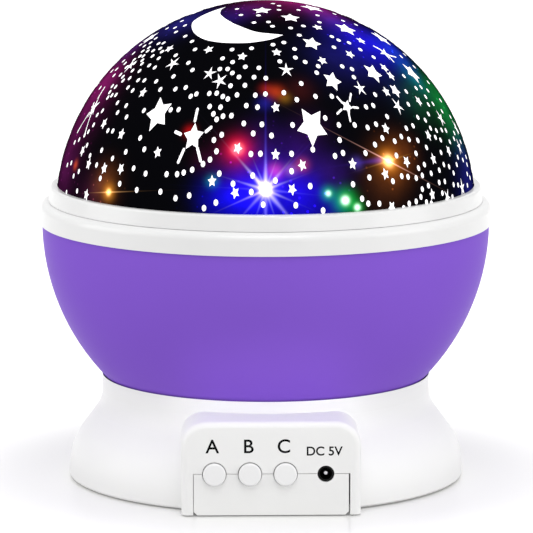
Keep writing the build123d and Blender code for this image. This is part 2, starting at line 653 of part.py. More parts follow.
def gear_outline(teeth, addendum, turn):
    """Involute gear outline with a tooth at angle turn, thinned by the backlash."""
    pitch_r = MODULE * teeth / 2
    base_r = pitch_r * cos(PRESSURE)
    root_r = pitch_r - 1.25 * MODULE
    tip_r = pitch_r + addendum * MODULE
    start_r = max(base_r, root_r)
    pitch_half = pi / (2 * teeth) - BACKLASH / (2 * pitch_r)
    steps = 4
    flank = []
    for k in range(steps + 1):
        radius = start_r + (tip_r - start_r) * k / steps
        roll = acos(min(1.0, base_r / radius))
        flank.append((radius, pitch_half + involute(PRESSURE) - involute(roll)))
    if root_r < base_r:
        flank.insert(0, (root_r, flank[0][1]))
    points = []
    for tooth in range(teeth):
        middle = turn + 2 * pi * tooth / teeth
        points += [(r * cos(middle - h), r * sin(middle - h)) for r, h in flank]
        points += [(r * cos(middle + h), r * sin(middle + h)) for r, h in reversed(flank)]
    return make_face(Polyline(*points, close=True))


def drive_gear():
    """Spur gear under the bowl's floor."""
    gear = Pos(0, 0, GEAR_Z) * extrude(gear_outline(GEAR_TEETH, GEAR_ADDENDUM, 0), GEAR_T)
    gear -= disc(GEAR_BORE_R, GEAR_Z, BOWL_FLOOR_Z)
    for angle in COLUMN_ANGLES:
        x, y = polar(GEAR_SCREW_R, angle)
        gear -= disc(SMALL_SCREW[0] + SEAM, GEAR_Z, BOWL_FLOOR_Z, x, y)
        gear -= disc(SMALL_SCREW[1] + SEAM, GEAR_Z, GEAR_Z + SMALL_SCREW[2] + SEAM, x, y)
    return gear


def gear_screws():
    seat = GEAR_Z + SMALL_SCREW[2] + SEAM
    length = GEAR_T + FLOOR_T - SMALL_SCREW[2]
    return [screw(SMALL_SCREW, length, *polar(GEAR_SCREW_R, a), seat) for a in COLUMN_ANGLES]


def pinion():
    """Motor pinion in mesh with the drive gear."""
    gear = extrude(gear_outline(PINION_TEETH, 1.0, pi / PINION_TEETH), PINION_T)
    gear = Pos(0, -PITCH_SUM, PINION_TOP - PINION_T) * gear
    gear += disc(PINION_HUB_R, PINION_TOP - PINION_T - PINION_HUB_DROP, PINION_TOP - PINION_T, 0, -PITCH_SUM)
    return gear - disc(SHAFT_R, DECK_TOP, PINION_TOP, 0, -PITCH_SUM)


def motor_shaft():
    return disc(SHAFT_R, DECK_Z - SHAFT_SINK, PINION_TOP, 0, -PITCH_SUM)


def led_post():
    """Hollow post that carries the LED board and is the bowl's pivot."""
    post = disc(POST_R, DECK_TOP, POST_TOP_Z) + disc(POST_FLANGE_R, DECK_TOP, POST_FLANGE_TOP)
    head = disc(LED_SCREW_R + BOSS_R / 2, POST_TOP_Z - POST_HEAD_T, POST_TOP_Z)
    post += head & block((-LED_BOARD_R, LED_BOARD_R), (-POST_HEAD_HALF, POST_HEAD_HALF), (0, POST_TOP_Z))
    post -= disc(POST_BORE_R, DECK_TOP, POST_TOP_Z)
    post -= ring(POST_R, POST_R - CLIP_GROOVE, CLIP_Z, CLIP_Z + CLIP_T)
    for angle in COLUMN_ANGLES:
        x, y = polar(POST_SCREW_R, angle)
        post -= disc(SMALL_SCREW[0] + SEAM, DECK_TOP, POST_FLANGE_TOP, x, y)
        post -= disc(SMALL_SCREW[1] + SEAM, POST_FLANGE_TOP - SMALL_SCREW[2], POST_FLANGE_TOP, x, y)
    for side in (-1, 1):
        post -= disc(SMALL_SCREW[0] + THREAD_GAP, POST_TOP_Z - POST_HEAD_T, POST_TOP_Z, side * LED_SCREW_R, 0)
    return post


def post_screws():
    seat = POST_FLANGE_TOP - SMALL_SCREW[2]
    return [screw(SMALL_SCREW, DECK_T + POST_FLANGE_T, *polar(POST_SCREW_R, a), seat, up=False)
            for a in COLUMN_ANGLES]


def thrust_washer():
    """Low-friction washer that the bowl's bush turns on."""
    return ring(WASHER_R, POST_R + SEAM, POST_FLANGE_TOP, WASHER_TOP)


def bowl_bush():
    """Flanged bush between the bowl and the post."""
    bush = disc(BUSH_R, BUSH_Z, BUSH_TOP_Z) + disc(BUSH_FLANGE_R, BUSH_Z, BOWL_FLOOR_Z)
    return bush - disc(POST_R + BEARING_GAP, BUSH_Z, BUSH_TOP_Z)


def retaining_clip():
    """Open ring in the post's groove, over the bush."""
    clip = ring(CLIP_R, POST_R - CLIP_GROOVE, CLIP_Z, CLIP_Z + CLIP_T)
    return clip - block((0, CLIP_R), (-CLIP_MOUTH / 2, CLIP_MOUTH / 2), (CLIP_Z, CLIP_Z + CLIP_T))


def led_board():
    board = ring(LED_BOARD_R, POST_BORE_R, POST_TOP_Z, POST_TOP_Z + LED_BOARD_T)
    for side in (-1, 1):
        board -= disc(SMALL_SCREW[0] + SEAM, POST_TOP_Z, POST_TOP_Z + LED_BOARD_T, side * LED_SCREW_R, 0)
    return board


def led_board_screws():
    seat = POST_TOP_Z + LED_BOARD_T
    return [screw(SMALL_SCREW, LED_BOARD_T + POST_HEAD_T, side * LED_SCREW_R, 0, seat, up=False)
            for side in (-1, 1)]


def led(angle):
    """Round-nosed LED that stands on the board."""
    x, y = polar(LED_RING_R, angle + 45)
    foot = POST_TOP_Z + LED_BOARD_T
    lamp = disc(LED_R, foot, foot + LED_STEM, x, y) + disc(LED_RIM_R, foot, foot + LED_RIM_T, x, y)
    return lamp + Pos(x, y, foot + LED_STEM) * Sphere(LED_R)


def bowl_shell():
    """Round bowl with a flat floor, a hub for the bush and three columns for the tray."""
    bowl = ball(BOWL_R, BOWL_CENTRE_Z) & slab(BOWL_FLOOR_Z, BOWL_TOP_Z)
    bowl -= ball(BOWL_R - WALL, BOWL_CENTRE_Z) & slab(BOWL_FLOOR_Z + FLOOR_T, BOWL_TOP_Z)
    inner = ball(BOWL_R - WALL / 2, BOWL_CENTRE_Z) & slab(BOWL_FLOOR_Z, TRAY_Z)
    columns = [disc(COLUMN_R, BOWL_FLOOR_Z, TRAY_Z, *polar(COLUMN_RING_R, a)) & inner for a in COLUMN_ANGLES]
    bosses = [disc(COLUMN_R, BOWL_FLOOR_Z, BOWL_FLOOR_Z + 2 * FLOOR_T + SEAM, *polar(GEAR_SCREW_R, a))
              for a in COLUMN_ANGLES]
    bowl = union([bowl, disc(BUSH_R + HUB_WALL, BOWL_FLOOR_Z, HUB_TOP_Z), *columns, *bosses])
    bowl -= disc(BUSH_R, BOWL_FLOOR_Z, HUB_TOP_Z)
    depth = 2 * SMALL_SCREW[1] + TRAY_T
    for angle in COLUMN_ANGLES:
        bowl -= disc(SMALL_SCREW[0] + THREAD_GAP, TRAY_Z - depth, TRAY_Z, *polar(COLUMN_RING_R, angle))
        bowl -= disc(SMALL_SCREW[0] + THREAD_GAP, BOWL_FLOOR_Z, BOWL_FLOOR_Z + 2 * FLOOR_T - WALL / 2,
                     *polar(GEAR_SCREW_R, angle))
    return bowl


def lug_sector(outer, inner, low, high, width, turn):
    """A short stretch of ring at each lug, turned by turn degrees."""
    ring_piece = ring(outer, inner, low, high)
    bars = union(Rot(0, 0, k * 360 / LUG_COUNT + turn) *
                 block((inner / 2, outer + WALL), (-width / 2, width / 2), (low, high))
                 for k in range(LUG_COUNT))
    return ring_piece & bars


def bowl_rim():
    """White band on the bowl, with L-shaped slots inside for the dome's lugs."""
    shoulder = RIM_TOP_Z - RIM_ROUND
    mid = RIM_ROUND * sqrt(0.5)
    low = BOWL_TOP_Z - RIM_SKIRT_DROP
    outline = [
        Line((RIM_BORE_R, low), (RIM_SKIRT_R, low)),
        Line((RIM_SKIRT_R, low), (RIM_SKIRT_R, BOWL_TOP_Z)),
        Line((RIM_SKIRT_R, BOWL_TOP_Z), (RIM_R, BOWL_TOP_Z)),
        Line((RIM_R, BOWL_TOP_Z), (RIM_R, shoulder)),
        ThreePointArc((RIM_R, shoulder), (RIM_R - RIM_ROUND + mid, shoulder + mid),
                      (RIM_R - RIM_ROUND, RIM_TOP_Z)),
        Line((RIM_R - RIM_ROUND, RIM_TOP_Z), (RIM_BORE_R, RIM_TOP_Z)),
        Line((RIM_BORE_R, RIM_TOP_Z), (RIM_BORE_R, low)),
    ]
    rim = revolve(Plane.XZ * make_face(outline), Axis.Z)
    slot_r = PLUG_R + LUG_OUT + SLIDE_GAP
    slot_low = RIM_TOP_Z - PLUG_DROP
    leg_top = slot_low + LUG_H + 2 * SLIDE_GAP + RUN_GAP
    width = LUG_W + 2 * RUN_GAP
    rim -= lug_sector(slot_r, RIM_BORE_R - SEAM, slot_low, RIM_TOP_Z, width, 0)
    for turn in (LUG_TURN / 2, LUG_TURN):
        rim -= lug_sector(slot_r, RIM_BORE_R - SEAM, slot_low, leg_top, width, turn)
    return rim


def dome_collar():
    """White band under the dome, with a plug and three lugs that go into the rim."""
    top_r = COLLAR_R - COLLAR_LEAN
    mid = COLLAR_ROUND * (1 - sqrt(0.5))
    low = RIM_TOP_Z - PLUG_DROP + SLIDE_GAP
    outline = [
        Line((PLUG_BORE_R, low), (PLUG_R, low)),
        Line((PLUG_R, low), (PLUG_R, COLLAR_Z)),
        Line((PLUG_R, COLLAR_Z), (COLLAR_R, COLLAR_Z)),
        Line((COLLAR_R, COLLAR_Z), (top_r, COLLAR_TOP_Z - COLLAR_ROUND)),
        ThreePointArc((top_r, COLLAR_TOP_Z - COLLAR_ROUND), (top_r - mid, COLLAR_TOP_Z - mid),
                      (top_r - COLLAR_ROUND, COLLAR_TOP_Z)),
        Line((top_r - COLLAR_ROUND, COLLAR_TOP_Z), (PLUG_BORE_R, COLLAR_TOP_Z)),
        Line((PLUG_BORE_R, COLLAR_TOP_Z), (PLUG_BORE_R, low)),
    ]
    collar = revolve(Plane.XZ * make_face(outline), Axis.Z)
    collar -= ball(DOME_R + THREAD_GAP, DOME_CENTRE_Z) & slab(DOME_Z, COLLAR_TOP_Z)
    lugs = lug_sector(PLUG_R + LUG_OUT, PLUG_BORE_R, low + SLIDE_GAP, low + SLIDE_GAP + LUG_H, LUG_W, 0)
    return collar + lugs


def star_dome():
    """Thin dome shell that stands in the collar."""
    shell = ball(DOME_R, DOME_CENTRE_Z) - ball(DOME_R - DOME_WALL, DOME_CENTRE_Z)
    return shell & slab(DOME_Z, DOME_CENTRE_Z + DOME_R)


def reflector_tray():
    """White tray over the bowl's works, with a lip round the LED board."""
    tray = ring(PLUG_BORE_R, TRAY_BORE_R, TRAY_Z, TRAY_Z + TRAY_T)
    tray += ring(TRAY_BORE_R + TRAY_LIP_T, TRAY_BORE_R, TRAY_Z, TRAY_Z + TRAY_T + TRAY_LIP_H)
    for angle in COLUMN_ANGLES:
        tray -= disc(SMALL_SCREW[0] + SEAM, TRAY_Z, TRAY_Z + TRAY_T, *polar(COLUMN_RING_R, angle))
    return tray


def tray_screws():
    length = 2 * SMALL_SCREW[1] + TRAY_T
    seat = TRAY_Z + TRAY_T
    return [screw(SMALL_SCREW, length, *polar(COLUMN_RING_R, a), seat, up=False) for a in COLUMN_ANGLES]


def lead(points, radius, bend):
    """A round lead along straight runs joined by tangent arcs."""
    path = FilletPolyline(*points, radius=bend)
    return sweep(Plane(origin=path @ 0, z_dir=path % 0) * Circle(radius), path=path)


def led_cable():
    """Lead from the LED board, down the post and round the motor to the control board."""
    top = POST_TOP_Z + LED_BOARD_T + CABLE_R + THREAD_GAP
    gap_z = (BAY_ROOF_Z + BAY_ROOF_T + DECK_Z) / 2
    back = BOARD_FRONT_Y + BOARD_T
    side = MOTOR_EAR_X + 2 * MOTOR_EAR_R
    end_x = side - BOSS_R
    points = [(LED_RING_R - LED_R / 2, 0, top), (0, 0, top), (0, 0, gap_z), (side, -PITCH_SUM, gap_z),
              (end_x, back + CABLE_DROP, gap_z), (end_x, back + CABLE_DROP, BUTTON_Z),
              (end_x, back, BUTTON_Z)]
    return lead(points, CABLE_R, CABLE_BEND)


def motor_leads():
    """Two thin leads from the motor's can to the control board."""
    back = BOARD_FRONT_Y + BOARD_T
    start_y = -PITCH_SUM - MOTOR_R / 2
    start_x = -sqrt(MOTOR_R ** 2 - (MOTOR_R / 2 - LEAD_R) ** 2) - THREAD_GAP
    turn_x = start_x - CABLE_DROP
    leads = []
    for rise in (0, 2 * LEAD_R + WALL / 2):
        z = MOTOR_Z + MOTOR_PLATE_T + rise
        route = [(start_x, start_y, z), (turn_x, start_y, z), (turn_x, back, z)]
        leads.append(lead(route, LEAD_R, LEAD_BEND))
    return leads


def battery_leads():
    """One lead from each end of the bay to the control board."""
    back = BOARD_FRONT_Y + BOARD_T
    x = BAY_X - CONTACT_SIDE / 2
    leads = []
    for side in (-1, 1):
        points = [(side * x, DOOR_FRONT_Y, CELL_Z), (side * x, -PITCH_SUM - MOTOR_R, CELL_Z),
                  (side * (x - BOSS_R), back + CABLE_DROP, CELL_Z), (side * (x - BOSS_R), back, CELL_Z)]
        leads.append(lead(points, LEAD_R, LEAD_BEND))
    return leads


PARTS = {
    "base_shell": base_shell, "base_plate": base_plate, "base_screws": base_screws,
    "rubber_feet": rubber_feet, "control_board": control_board, "board_parts": board_parts,
    "tact_switches": tact_switches, "dc_jack": dc_jack, "jack_pin": jack_pin,
    "gear_motor": gear_motor, "motor_screws": motor_screws, "led_post": led_post,
    "post_screws": post_screws, "thrust_washer": thrust_washer, "retaining_clip": retaining_clip,
    "led_board": led_board, "led_board_screws": led_board_screws, "battery_cells": battery_cells,
    "contact_springs": contact_springs, "contact_plates": contact_plates, "led_cable": led_cable,
    "motor_leads": motor_leads, "battery_leads": battery_leads, "battery_door": battery_door,
    "door_screw": door_screw, "bowl_shell": bowl_shell, "bowl_rim": bowl_rim,
    "reflector_tray": reflector_tray, "tray_screws": tray_screws, "drive_gear": drive_gear,
    "gear_screws": gear_screws, "bowl_bush": bowl_bush, "pinion": pinion,
    "motor_shaft": motor_shaft, "dome_collar": dome_collar, "star_dome": star_dome,
}


def write(node, made):
    """Write one sub-part, or a group of separate solids, to its STEP file."""
    solids = made if isinstance(made, list) else [made]
    loose = [s for piece in solids for s in piece.solids()]
    shape = loose[0] if len(loose) == 1 else Compound(children=loose)
    export_step(shape, f"parts/{node}.step")


os.makedirs("parts", exist_ok=True)
for node, make in PARTS.items():
    write(node, make())
for node, angle in LED_ANGLES.items():
    write(node, led(angle))
for letter, x in zip(BUTTON_NAMES, BUTTON_X):
    write(f"button_{letter}", button(x))
    write(f"plunger_{letter}", plunger(x))
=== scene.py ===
"""Dresses the star night light: finishes, dome print, lettering, lights and camera. Metres."""
import math
import random

import bmesh
import bpy
from mathutils import Matrix, Vector


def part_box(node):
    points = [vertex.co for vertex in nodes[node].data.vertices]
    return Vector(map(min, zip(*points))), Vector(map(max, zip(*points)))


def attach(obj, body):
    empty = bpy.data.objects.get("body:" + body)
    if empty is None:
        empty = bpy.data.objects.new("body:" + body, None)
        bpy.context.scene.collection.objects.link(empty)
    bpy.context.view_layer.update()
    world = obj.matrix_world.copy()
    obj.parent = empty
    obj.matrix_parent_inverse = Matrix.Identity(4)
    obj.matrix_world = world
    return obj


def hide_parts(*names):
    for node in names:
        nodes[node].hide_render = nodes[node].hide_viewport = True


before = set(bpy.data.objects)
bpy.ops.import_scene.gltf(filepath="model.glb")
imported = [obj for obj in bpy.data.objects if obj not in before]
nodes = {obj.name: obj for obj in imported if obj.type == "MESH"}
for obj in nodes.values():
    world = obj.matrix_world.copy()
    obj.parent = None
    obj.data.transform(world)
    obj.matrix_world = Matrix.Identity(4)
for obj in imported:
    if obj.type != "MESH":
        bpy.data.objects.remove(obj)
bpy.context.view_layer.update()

MM = 0.001

# ---- photograph's frame and camera ----
PHOTO_SIDE = 533               # pixels
SENSOR = 36.0                  # mm, as the lens is
LENS = 303.8
CAM_AIM = Vector((0.23, 0.0, 60.7)) * MM
CAM_REACH = 1284.2 * MM        # along the floor
CAM_HEIGHT = 272.7 * MM
CAM_TURN = math.radians(-1.5)  # towards -X

# ---- dome, from its node's box ----
dome_low, dome_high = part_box("star_dome")
DOME_HALF = (dome_high[0] - dome_low[0]) / 2
DOME_HEIGHT = dome_high[2] - dome_low[2]
DOME_R = (DOME_HALF ** 2 + DOME_HEIGHT ** 2) / (2 * DOME_HEIGHT)
DOME_CENTRE = Vector((0, 0, dome_high[2] - DOME_R))
DOME_WALL = 1.6 * MM
DOME_STEPS = 48                # from the dome's edge to its top
DOME_SEGMENTS = 160
PRINT_PROUD = 0.03 * MM
PRINT_SINK = 0.1 * MM
PIXEL = MM * (1 / 3.46)        # one photo pixel at the lamp's axis
STRETCH_LOW = math.radians(40)   # the print is stretched in full below this height on the dome
STRETCH_HIGH = math.radians(65)  # and alike both ways above this one
WIDE_LOW = 0.88                # the print's scale along the parallels, low on the dome
TALL_LOW = 1.22                # the same along the meridians
PRINT_HIGH = 1.08              # its scale both ways, high on the dome


# ================================ camera ================================

def make_camera():
    data = bpy.data.cameras.new("camera")
    data.lens = LENS
    data.sensor_width = SENSOR
    made = bpy.data.objects.new("camera", data)
    made.location = (CAM_REACH * math.sin(CAM_TURN), -CAM_REACH * math.cos(CAM_TURN), CAM_HEIGHT)
    made.rotation_euler = (CAM_AIM - made.location).to_track_quat("-Z", "Y").to_euler()
    bpy.context.scene.collection.objects.link(made)
    bpy.context.scene.camera = made
    bpy.context.view_layer.update()
    return made


camera = make_camera()
CAM_TURN_MATRIX = camera.matrix_world.to_3x3()


def photo_ray(px, py):
    """Unit vector from the camera through a photo pixel."""
    spread = SENSOR / LENS / PHOTO_SIDE
    ray = Vector(((px - PHOTO_SIDE / 2) * spread, (PHOTO_SIDE / 2 - py) * spread, -1))
    return (CAM_TURN_MATRIX @ ray).normalized()


def dome_direction(px, py):
    """Unit vector from the dome's centre to the place that a photo pixel shows on it."""
    ray = photo_ray(px, py)
    start = camera.location - DOME_CENTRE
    along = -start.dot(ray)
    nearest = start + along * ray
    depth = max(DOME_R ** 2 - nearest.length_squared, 0.0) ** 0.5
    return (start + (along - depth) * ray).normalized()


def direction_at(height, angle):
    """Unit vector at a height and an angle round the axis."""
    ring_r = math.sqrt(1 - height ** 2)
    return Vector((ring_r * math.cos(angle), ring_r * math.sin(angle), height))


def tangent_frame(normal):
    """Right and up directions on the dome, carried from the camera's by the shortest turn."""
    facing = (camera.location - DOME_CENTRE).normalized()
    up = facing.rotation_difference(normal) @ (CAM_TURN_MATRIX @ Vector((0, 1, 0)))
    up = (up - normal * up.dot(normal)).normalized()
    return up.cross(normal), up


def stretched_frame(normal):
    """The same directions, longer along the meridian, as a flat print is when a dome is formed from it."""
    top_share = min(max((math.asin(normal.z) - STRETCH_LOW) / (STRETCH_HIGH - STRETCH_LOW), 0.0), 1.0)
    wide = WIDE_LOW + (PRINT_HIGH - WIDE_LOW) * top_share
    tall = TALL_LOW + (PRINT_HIGH - TALL_LOW) * top_share
    north = (Vector((0, 0, 1)) - normal * normal.z).normalized()
    axes = []
    for axis in tangent_frame(normal):
        along = axis.dot(north)
        axes.append((axis - north * along) * wide + north * (along * tall))
    return axes


# ================================ meshes ================================

def object_from(bm, name, material, body, smooth=True):
    """Turn a bmesh into a piece that rides on a body."""
    bmesh.ops.recalc_face_normals(bm, faces=bm.faces)
    mesh = bpy.data.meshes.new(name)
    bm.to_mesh(mesh)
    bm.free()
    if smooth:
        mesh.shade_smooth()
    mesh.materials.append(material)
    made = bpy.data.objects.new(name, mesh)
    bpy.context.scene.collection.objects.link(made)
    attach(made, body)
    return made


def lathe(bm, outline, segments):
    """Faces swept round the Z axis from (radius, height) points; a radius of 0 closes to a point."""
    rings = []
    for radius, height in outline:
        if radius == 0:
            rings.append([bm.verts.new((0, 0, height))])
        else:
            angles = [2 * math.pi * k / segments for k in range(segments)]
            rings.append([bm.verts.new((radius * math.cos(a), radius * math.sin(a), height)) for a in angles])
    for low, high in zip(rings, rings[1:]):
        for k in range(segments):
            n = (k + 1) % segments
            corners = [low[k % len(low)], low[n % len(low)], high[n % len(high)], high[k % len(high)]]
            bm.faces.new(list(dict.fromkeys(corners)))


# ================================ dome print ================================

STRIP_STEPS = 6                # faces across the crescent
STAR_EDGE = (0.0, 0.12, 0.5, 0.88)  # where points lie along each straight edge of a star
SAME_PLACE = 1e-7


def on_sphere(normal, offset, radius):
    """Point that lies a given way along the sphere from the direction normal."""
    turn = offset.length / DOME_R
    return DOME_CENTRE + (normal * math.cos(turn) + offset.normalized() * math.sin(turn)) * radius


def add_patch(bm, normal, outline, rings):
    """A thin closed plate on the dome from a closed outline that its middle can see whole."""
    right, up = stretched_frame(normal)
    sides = []
    for radius in (DOME_R + PRINT_PROUD, DOME_R - PRINT_SINK):
        loops = []
        for k in range(rings):
            part = 1 - k / rings
            loops.append([bm.verts.new(on_sphere(normal, (right * a + up * b) * part, radius))
                          for a, b in outline])
        hub = bm.verts.new(DOME_CENTRE + normal * radius)
        for outer, inner in zip(loops, loops[1:]):
            for k in range(len(outline)):
                n = (k + 1) % len(outline)
                bm.faces.new((outer[k], outer[n], inner[n], inner[k]))
        for k in range(len(outline)):
            bm.faces.new((loops[-1][k], loops[-1][(k + 1) % len(outline)], hub))
        sides.append(loops[0])
    top, low = sides
    for k in range(len(outline)):
        n = (k + 1) % len(outline)
        bm.faces.new((top[n], top[k], low[k], low[n]))


def add_strip(bm, first, second):
    """A thin closed plate on the dome between two rows of directions that share both ends."""
    grids = []
    for radius in (DOME_R + PRINT_PROUD, DOME_R - PRINT_SINK):
        grid = []
        for a, b in zip(first, second):
            row = [a.lerp(b, k / STRIP_STEPS).normalized() for k in range(STRIP_STEPS + 1)]
            grid.append([bm.verts.new(DOME_CENTRE + d * radius) for d in row])
        for low, high in zip(grid, grid[1:]):
            for k in range(STRIP_STEPS):
                bm.faces.new((low[k], low[k + 1], high[k + 1], high[k]))
        grids.append(grid)
    top, low = grids
    for column in (0, STRIP_STEPS):
        for k in range(len(top) - 1):
            bm.faces.new((top[k][column], top[k + 1][column], low[k + 1][column], low[k][column]))
    for row in (0, -1):
        for k in range(STRIP_STEPS):
            bm.faces.new((top[row][k], top[row][k + 1], low[row][k + 1], low[row][k]))
    bmesh.ops.remove_doubles(bm, verts=bm.verts, dist=SAME_PLACE)


def star_outline(reach, waist, tilt, points=5):
    """Outline of a star whose first tip is tilted anticlockwise from straight up, in degrees."""
    outline = []
    for k in range(2 * points):
        radius = reach if k % 2 == 0 else reach * waist
        angle = math.radians(90 + tilt) + math.pi * k / points
        outline.append((radius * math.cos(angle), radius * math.sin(angle)))
    fine = []
    for (a, b), (c, d) in zip(outline, outline[1:] + outline[:1]):
        fine += [(a + (c - a) * part, b + (d - b) * part) for part in STAR_EDGE]
    return fine


def disc_outline(radius, count=14):
    """Points on a circle."""
    return [(radius * math.cos(2 * math.pi * k / count), radius * math.sin(2 * math.pi * k / count))
            for k in range(count)]


def bar_outline(half, width, end_points=12):
    """A round-ended bar along b."""
    outline = []
    for k in range(end_points):
        angle = math.pi * k / (end_points - 1)
        outline.append((width * math.cos(angle), half - width + width * math.sin(angle)))
    return outline + [(-a, -b) for a, b in outline]


def turned(outline, degrees):
    """The outline turned anticlockwise."""
    c, s = math.cos(math.radians(degrees)), math.sin(math.radians(degrees))
    return [(a * c - b * s, a * s + b * c) for a, b in outline]


def smooth_row(points, steps=6):
    """Directions on a smooth line through photo pixels."""
    path = [dome_direction(*p) for p in points]
    path = [path[0], *path, path[-1]]
    row = []
    for k in range(1, len(path) - 2):
        for step in range(steps):
            t = step / steps
            p0, p1, p2, p3 = path[k - 1:k + 3]
            row.append((0.5 * (2 * p1 + (p2 - p0) * t + (2 * p0 - 5 * p1 + 4 * p2 - p3) * t * t
                               + (3 * p1 - p0 - 3 * p2 + p3) * t ** 3)).normalized())
    return row + [path[-1]]


# Photo pixels of the crescent's two edges, from its upper tip to its right tip.
MOON_OUTER = ((226, 7), (207, 13.5), (194.5, 20.5), (191.7, 26), (194.3, 33), (203.5, 39), (217, 42),
              (233, 43), (251, 42.5), (270, 39.5), (283, 35))
MOON_INNER = ((226, 7), (222, 9), (220.5, 11.5), (220.5, 14.5), (225, 18.5), (230, 21.5), (236, 24.7),
              (249.5, 30), (259, 32.5), (270, 33.7), (283, 35))

# Full stars: photo pixel, reach of the tips in pixels, tilt in degrees.
BIG_STARS = (
    (158.2, 113.8, 16, 8), (312, 126, 17.5, 34), (332.4, 80.9, 10, -15), (373.3, 72.9, 10.5, -17),
    (311.8, 43.3, 9.2, -13), (346.1, 28.9, 10.8, -6), (290.5, 17.7, 9, 0), (262, 10.3, 9, 0),
    (381, 38, 11, 10), (412, 73, 11, -20), (395.3, 90.6, 6.8, -17), (193.2, 137, 12, -3),
    (347, 106.6, 6.6, -20), (312, 8, 11, 20), (361, 23, 9, 0), (150, 38, 9, 12),
)
# Small stars: photo pixel.
SMALL_STARS = (
    (276.7, 52.3), (322.4, 60.6), (350, 54.3), (361, 40.7), (317.6, 27.3), (384.3, 67.9), (390.9, 75.8),
    (386.3, 91.7), (418.7, 101), (242.2, 56.5), (208.7, 49.6), (169.3, 48.7), (142.9, 92.6), (275.6, 107.3),
    (104, 123.5), (121.4, 134.1), (157.6, 152.3), (82.5, 150.9), (88.6, 164), (104.2, 168.3),
    (120.8, 168.8), (86.3, 194.8), (212, 181.2), (235.1, 192.8), (237.8, 148.2), (275.6, 154.6),
    (302.3, 165.2), (292.2, 189.4), (352.6, 163.9), (385.3, 174), (406.6, 161.6), (385.8, 128.5),
    (433.4, 159), (448.7, 151), (428.4, 135.2), (432.3, 194.6), (391.9, 206.9),
)
# Thin stars: photo pixel, reach of the tips in pixels.
THIN_STARS = (
    (286.3, 69.9, 8), (172.9, 63.5, 8), (209.6, 73.4, 7.5), (219.8, 80.8, 8.5), (384.6, 53, 9),
    (360.3, 88.4, 7.5), (397.8, 106, 8), (130.3, 65.6, 8), (440.7, 118.2, 7.5), (94, 107.5, 10),
    (459.3, 147, 7), (447.3, 196.9, 7), (462.2, 187.8, 8), (455.7, 127.4, 7),
)
# Loose rays round some stars: photo pixels of both ends, half width in mm.
RAYS = (
    ((197.4, 109), (195, 121), 0.42), ((174, 131.7), (182.3, 134.5), 0.42),
    ((212.6, 127), (204.5, 132), 0.42), ((177.5, 162.2), (184.6, 149.5), 0.42),
    ((201.5, 161), (196.6, 148.5), 0.42), ((336.5, 97), (343, 103), 0.27),
    ((351.6, 93.8), (349, 101), 0.27), ((359, 107.8), (352, 107.3), 0.27),
    ((336.2, 113.8), (342.5, 109.5), 0.27), ((350.2, 121.1), (348.6, 112), 0.27),
    ((373.3, 46), (379, 48.9), 0.24), ((388.5, 55.5), (396, 57), 0.24), ((389, 56.5), (393.7, 62), 0.24),
    ((104.3, 87.6), (98.4, 97.7), 0.26), ((77.8, 131), (89, 114), 0.26), ((85.9, 132.5), (91, 113), 0.26),
    ((93.6, 103), (91.5, 112), 0.26),
)
